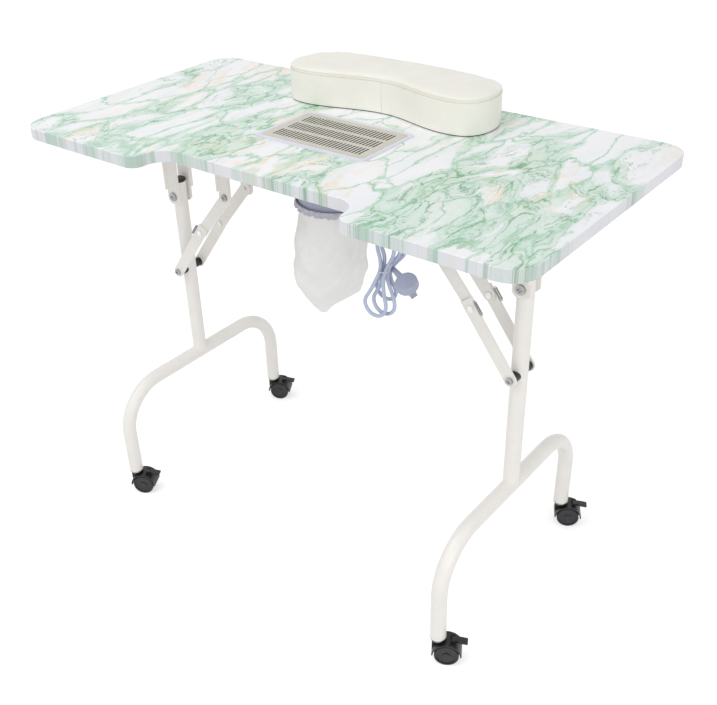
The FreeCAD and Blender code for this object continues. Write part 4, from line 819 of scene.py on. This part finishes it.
CORD_POINTS = [
    # out of the gland, round and down to the hank
    (111.0, -35.0, 661.0), (127.0, -35.0, 661.0), (143.0, -40.0, 662.0), (155.0, -51.0, 663.0),
    (164.0, -65.0, 661.0), (171.0, -82.0, 657.0), (177.0, -96.0, 647.0), (182.0, -106.0, 631.0),
    (188.0, -109.5, 614.0),
    # first turn, in front
    (186.5, -108.5, 600.0), (178.0, -107.0, 585.0), (170.6, -106.5, 570.0), (166.5, -106.5, 553.0),
    (167.5, -106.5, 534.0), *fold(152.5, 513.0, (-106.5, -106.5), 8, -196),
    (144.5, -106.5, 533.0), (153.0, -106.5, 550.0), (162.5, -106.0, 570.0), (161.0, -104.5, 587.0),
    *fold(173.5, 605.5, (-103.5, -100.5), 195, -208),
    # second turn, in the middle
    (180.5, -100.7, 586.0), (170.6, -100.8, 570.0), (170.5, -100.8, 553.0), (177.5, -100.8, 537.0),
    *fold(164.0, 517.5, (-100.8, -100.8), 7, -197),
    (155.5, -100.8, 538.0), (161.0, -100.8, 554.0), (162.5, -100.5, 570.0), (165.0, -98.5, 587.0),
    *fold(177.0, 603.5, (-97.4, -94.6), 186, -199),
    # third turn, short, and out through the tie to the plug
    (183.0, -94.8, 585.0), (170.6, -95.0, 570.0), (170.8, -94.6, 553.0),
    *fold(161.0, 536.5, (-93.0, -89.0), 3, -206),
    (157.5, -89.0, 557.0), (167.5, -89.4, 567.5), (175.5, -94.4, 572.6), (183.0, -99.8, 572.8),
    (190.5, -103.2, 570.9),
]


def make_cord():
    data = bpy.data.curves.new("mains_lead", "CURVE")
    data.dimensions = "3D"
    spline = data.splines.new("NURBS")
    spline.points.add(len(CORD_POINTS) - 1)
    for point, place in zip(spline.points, CORD_POINTS):
        point.co = (*(c * MM for c in place), 1)
    spline.order_u = 3
    spline.use_endpoint_u = True
    spline.resolution_u = 8
    data.bevel_depth = CORD_DIAMETER / 2
    data.bevel_resolution = 5
    data.use_fill_caps = True
    cord = shown("mains_lead", data)
    data.materials.append(FINISH["cord"])
    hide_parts("power_cord", "cord_hank")
    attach(cord, "tabletop")
    return cord


TIE_MIDDLE = (167.0, -99.0, 570.0)
TIE_HALF = (9.6, 12.2)
TIE_TURNS = 1.5
TIE_STEPS = 96
TIE_RISE = 3.6
TAIL_START = Vector((176.0, -106.0, 571.0))
TAIL_END = Vector((183.0, -110.0, 587.0))
TAIL_TURNS = 3.5
TAIL_STEPS = 59


def make_tie():
    """Twist tie: one and a half turns round the bundle, its two ends wound together."""
    turns = []
    for i in range(TIE_STEPS + 1):
        turn = TURN * TIE_TURNS * i / TIE_STEPS
        turns.append((TIE_MIDDLE[0] + TIE_HALF[0] * math.cos(turn),
                      TIE_MIDDLE[1] + TIE_HALF[1] * math.sin(turn),
                      TIE_MIDDLE[2] - 2.0 + TIE_RISE * i / TIE_STEPS))
    band = [Vector(point) * MM for point in turns]
    pieces = [ring_mesh("band", tube_rings(band, 0.95 * MM, 8), True, True)]
    for phase in (0.0, math.pi):
        line = []
        for i in range(TAIL_STEPS + 1):
            share = i / TAIL_STEPS
            turn = phase + TURN * TAIL_TURNS * share
            off = Vector((math.cos(turn), math.sin(turn) * 0.7, 0)) * (1.0 + 0.8 * share ** 3)
            line.append((TAIL_START.lerp(TAIL_END, share) + off) * MM)
        pieces.append(ring_mesh("tail", tube_rings(line, 0.7 * MM, 6), True, True))
    piece = place_piece(joined(pieces, "lead_tie"), "lead_tie", "tie")
    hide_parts("cord_tie")
    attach(piece, "tabletop")
    return piece


lead = make_cord()
tie = make_tie()


# ---- lock springs -------------------------------------------------------------------------------
SPRING_WIRE = 0.45 * MM
SPRING_COIL = 2.0 * MM
SPRING_TURNS = 17
SPRING_STEPS = 14
HOOK_LENGTH = 3.2 * MM


def make_springs(side):
    """Two springs with hooked ends, where the node's two rods stand."""
    node = side + "_stay_springs"
    points = np.array([v.co for v in NODES[node].data.vertices])
    middle_y = (points[:, 1].min() + points[:, 1].max()) / 2
    coils = []
    for near in (points[points[:, 1] < middle_y], points[points[:, 1] >= middle_y]):
        centre = (near.min(0) + near.max(0)) / 2
        _, _, axes = np.linalg.svd(near - near.mean(0))
        way = Vector(axes[0])
        if way.z < 0:
            way = -way
        half = float(np.abs((near - centre) @ np.array(way)).max()) - HOOK_LENGTH
        first = Vector((0, 1, 0))
        second = way.cross(first).normalized()
        line = []
        steps = SPRING_TURNS * SPRING_STEPS
        for i in range(steps + 1):
            turn = TURN * SPRING_TURNS * i / steps
            rise = -half + 2 * half * i / steps
            line.append(Vector(centre) + way * rise
                        + SPRING_COIL * (math.cos(turn) * first + math.sin(turn) * second))
        for end in (-1, 1):
            hook = []
            for i in range(SPRING_STEPS + 1):
                turn = math.pi * 1.35 * i / SPRING_STEPS
                rise = half + 1.6 * MM * math.sin(turn) + 0.4 * MM
                hook.append(Vector(centre) + way * end * rise
                            + first * (SPRING_COIL - 1.7 * MM * (1 - math.cos(turn))))
            line = line + hook if end > 0 else list(reversed(hook)) + line
        coils.append(ring_mesh("coil", tube_rings(line, SPRING_WIRE, 6), True, True))
    piece = place_piece(joined(coils, side + "_lock_springs"), side + "_lock_springs", "zinc")
    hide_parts(node)
    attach(piece, side + "_lower_stays")


for side in ("left", "right"):
    make_springs(side)
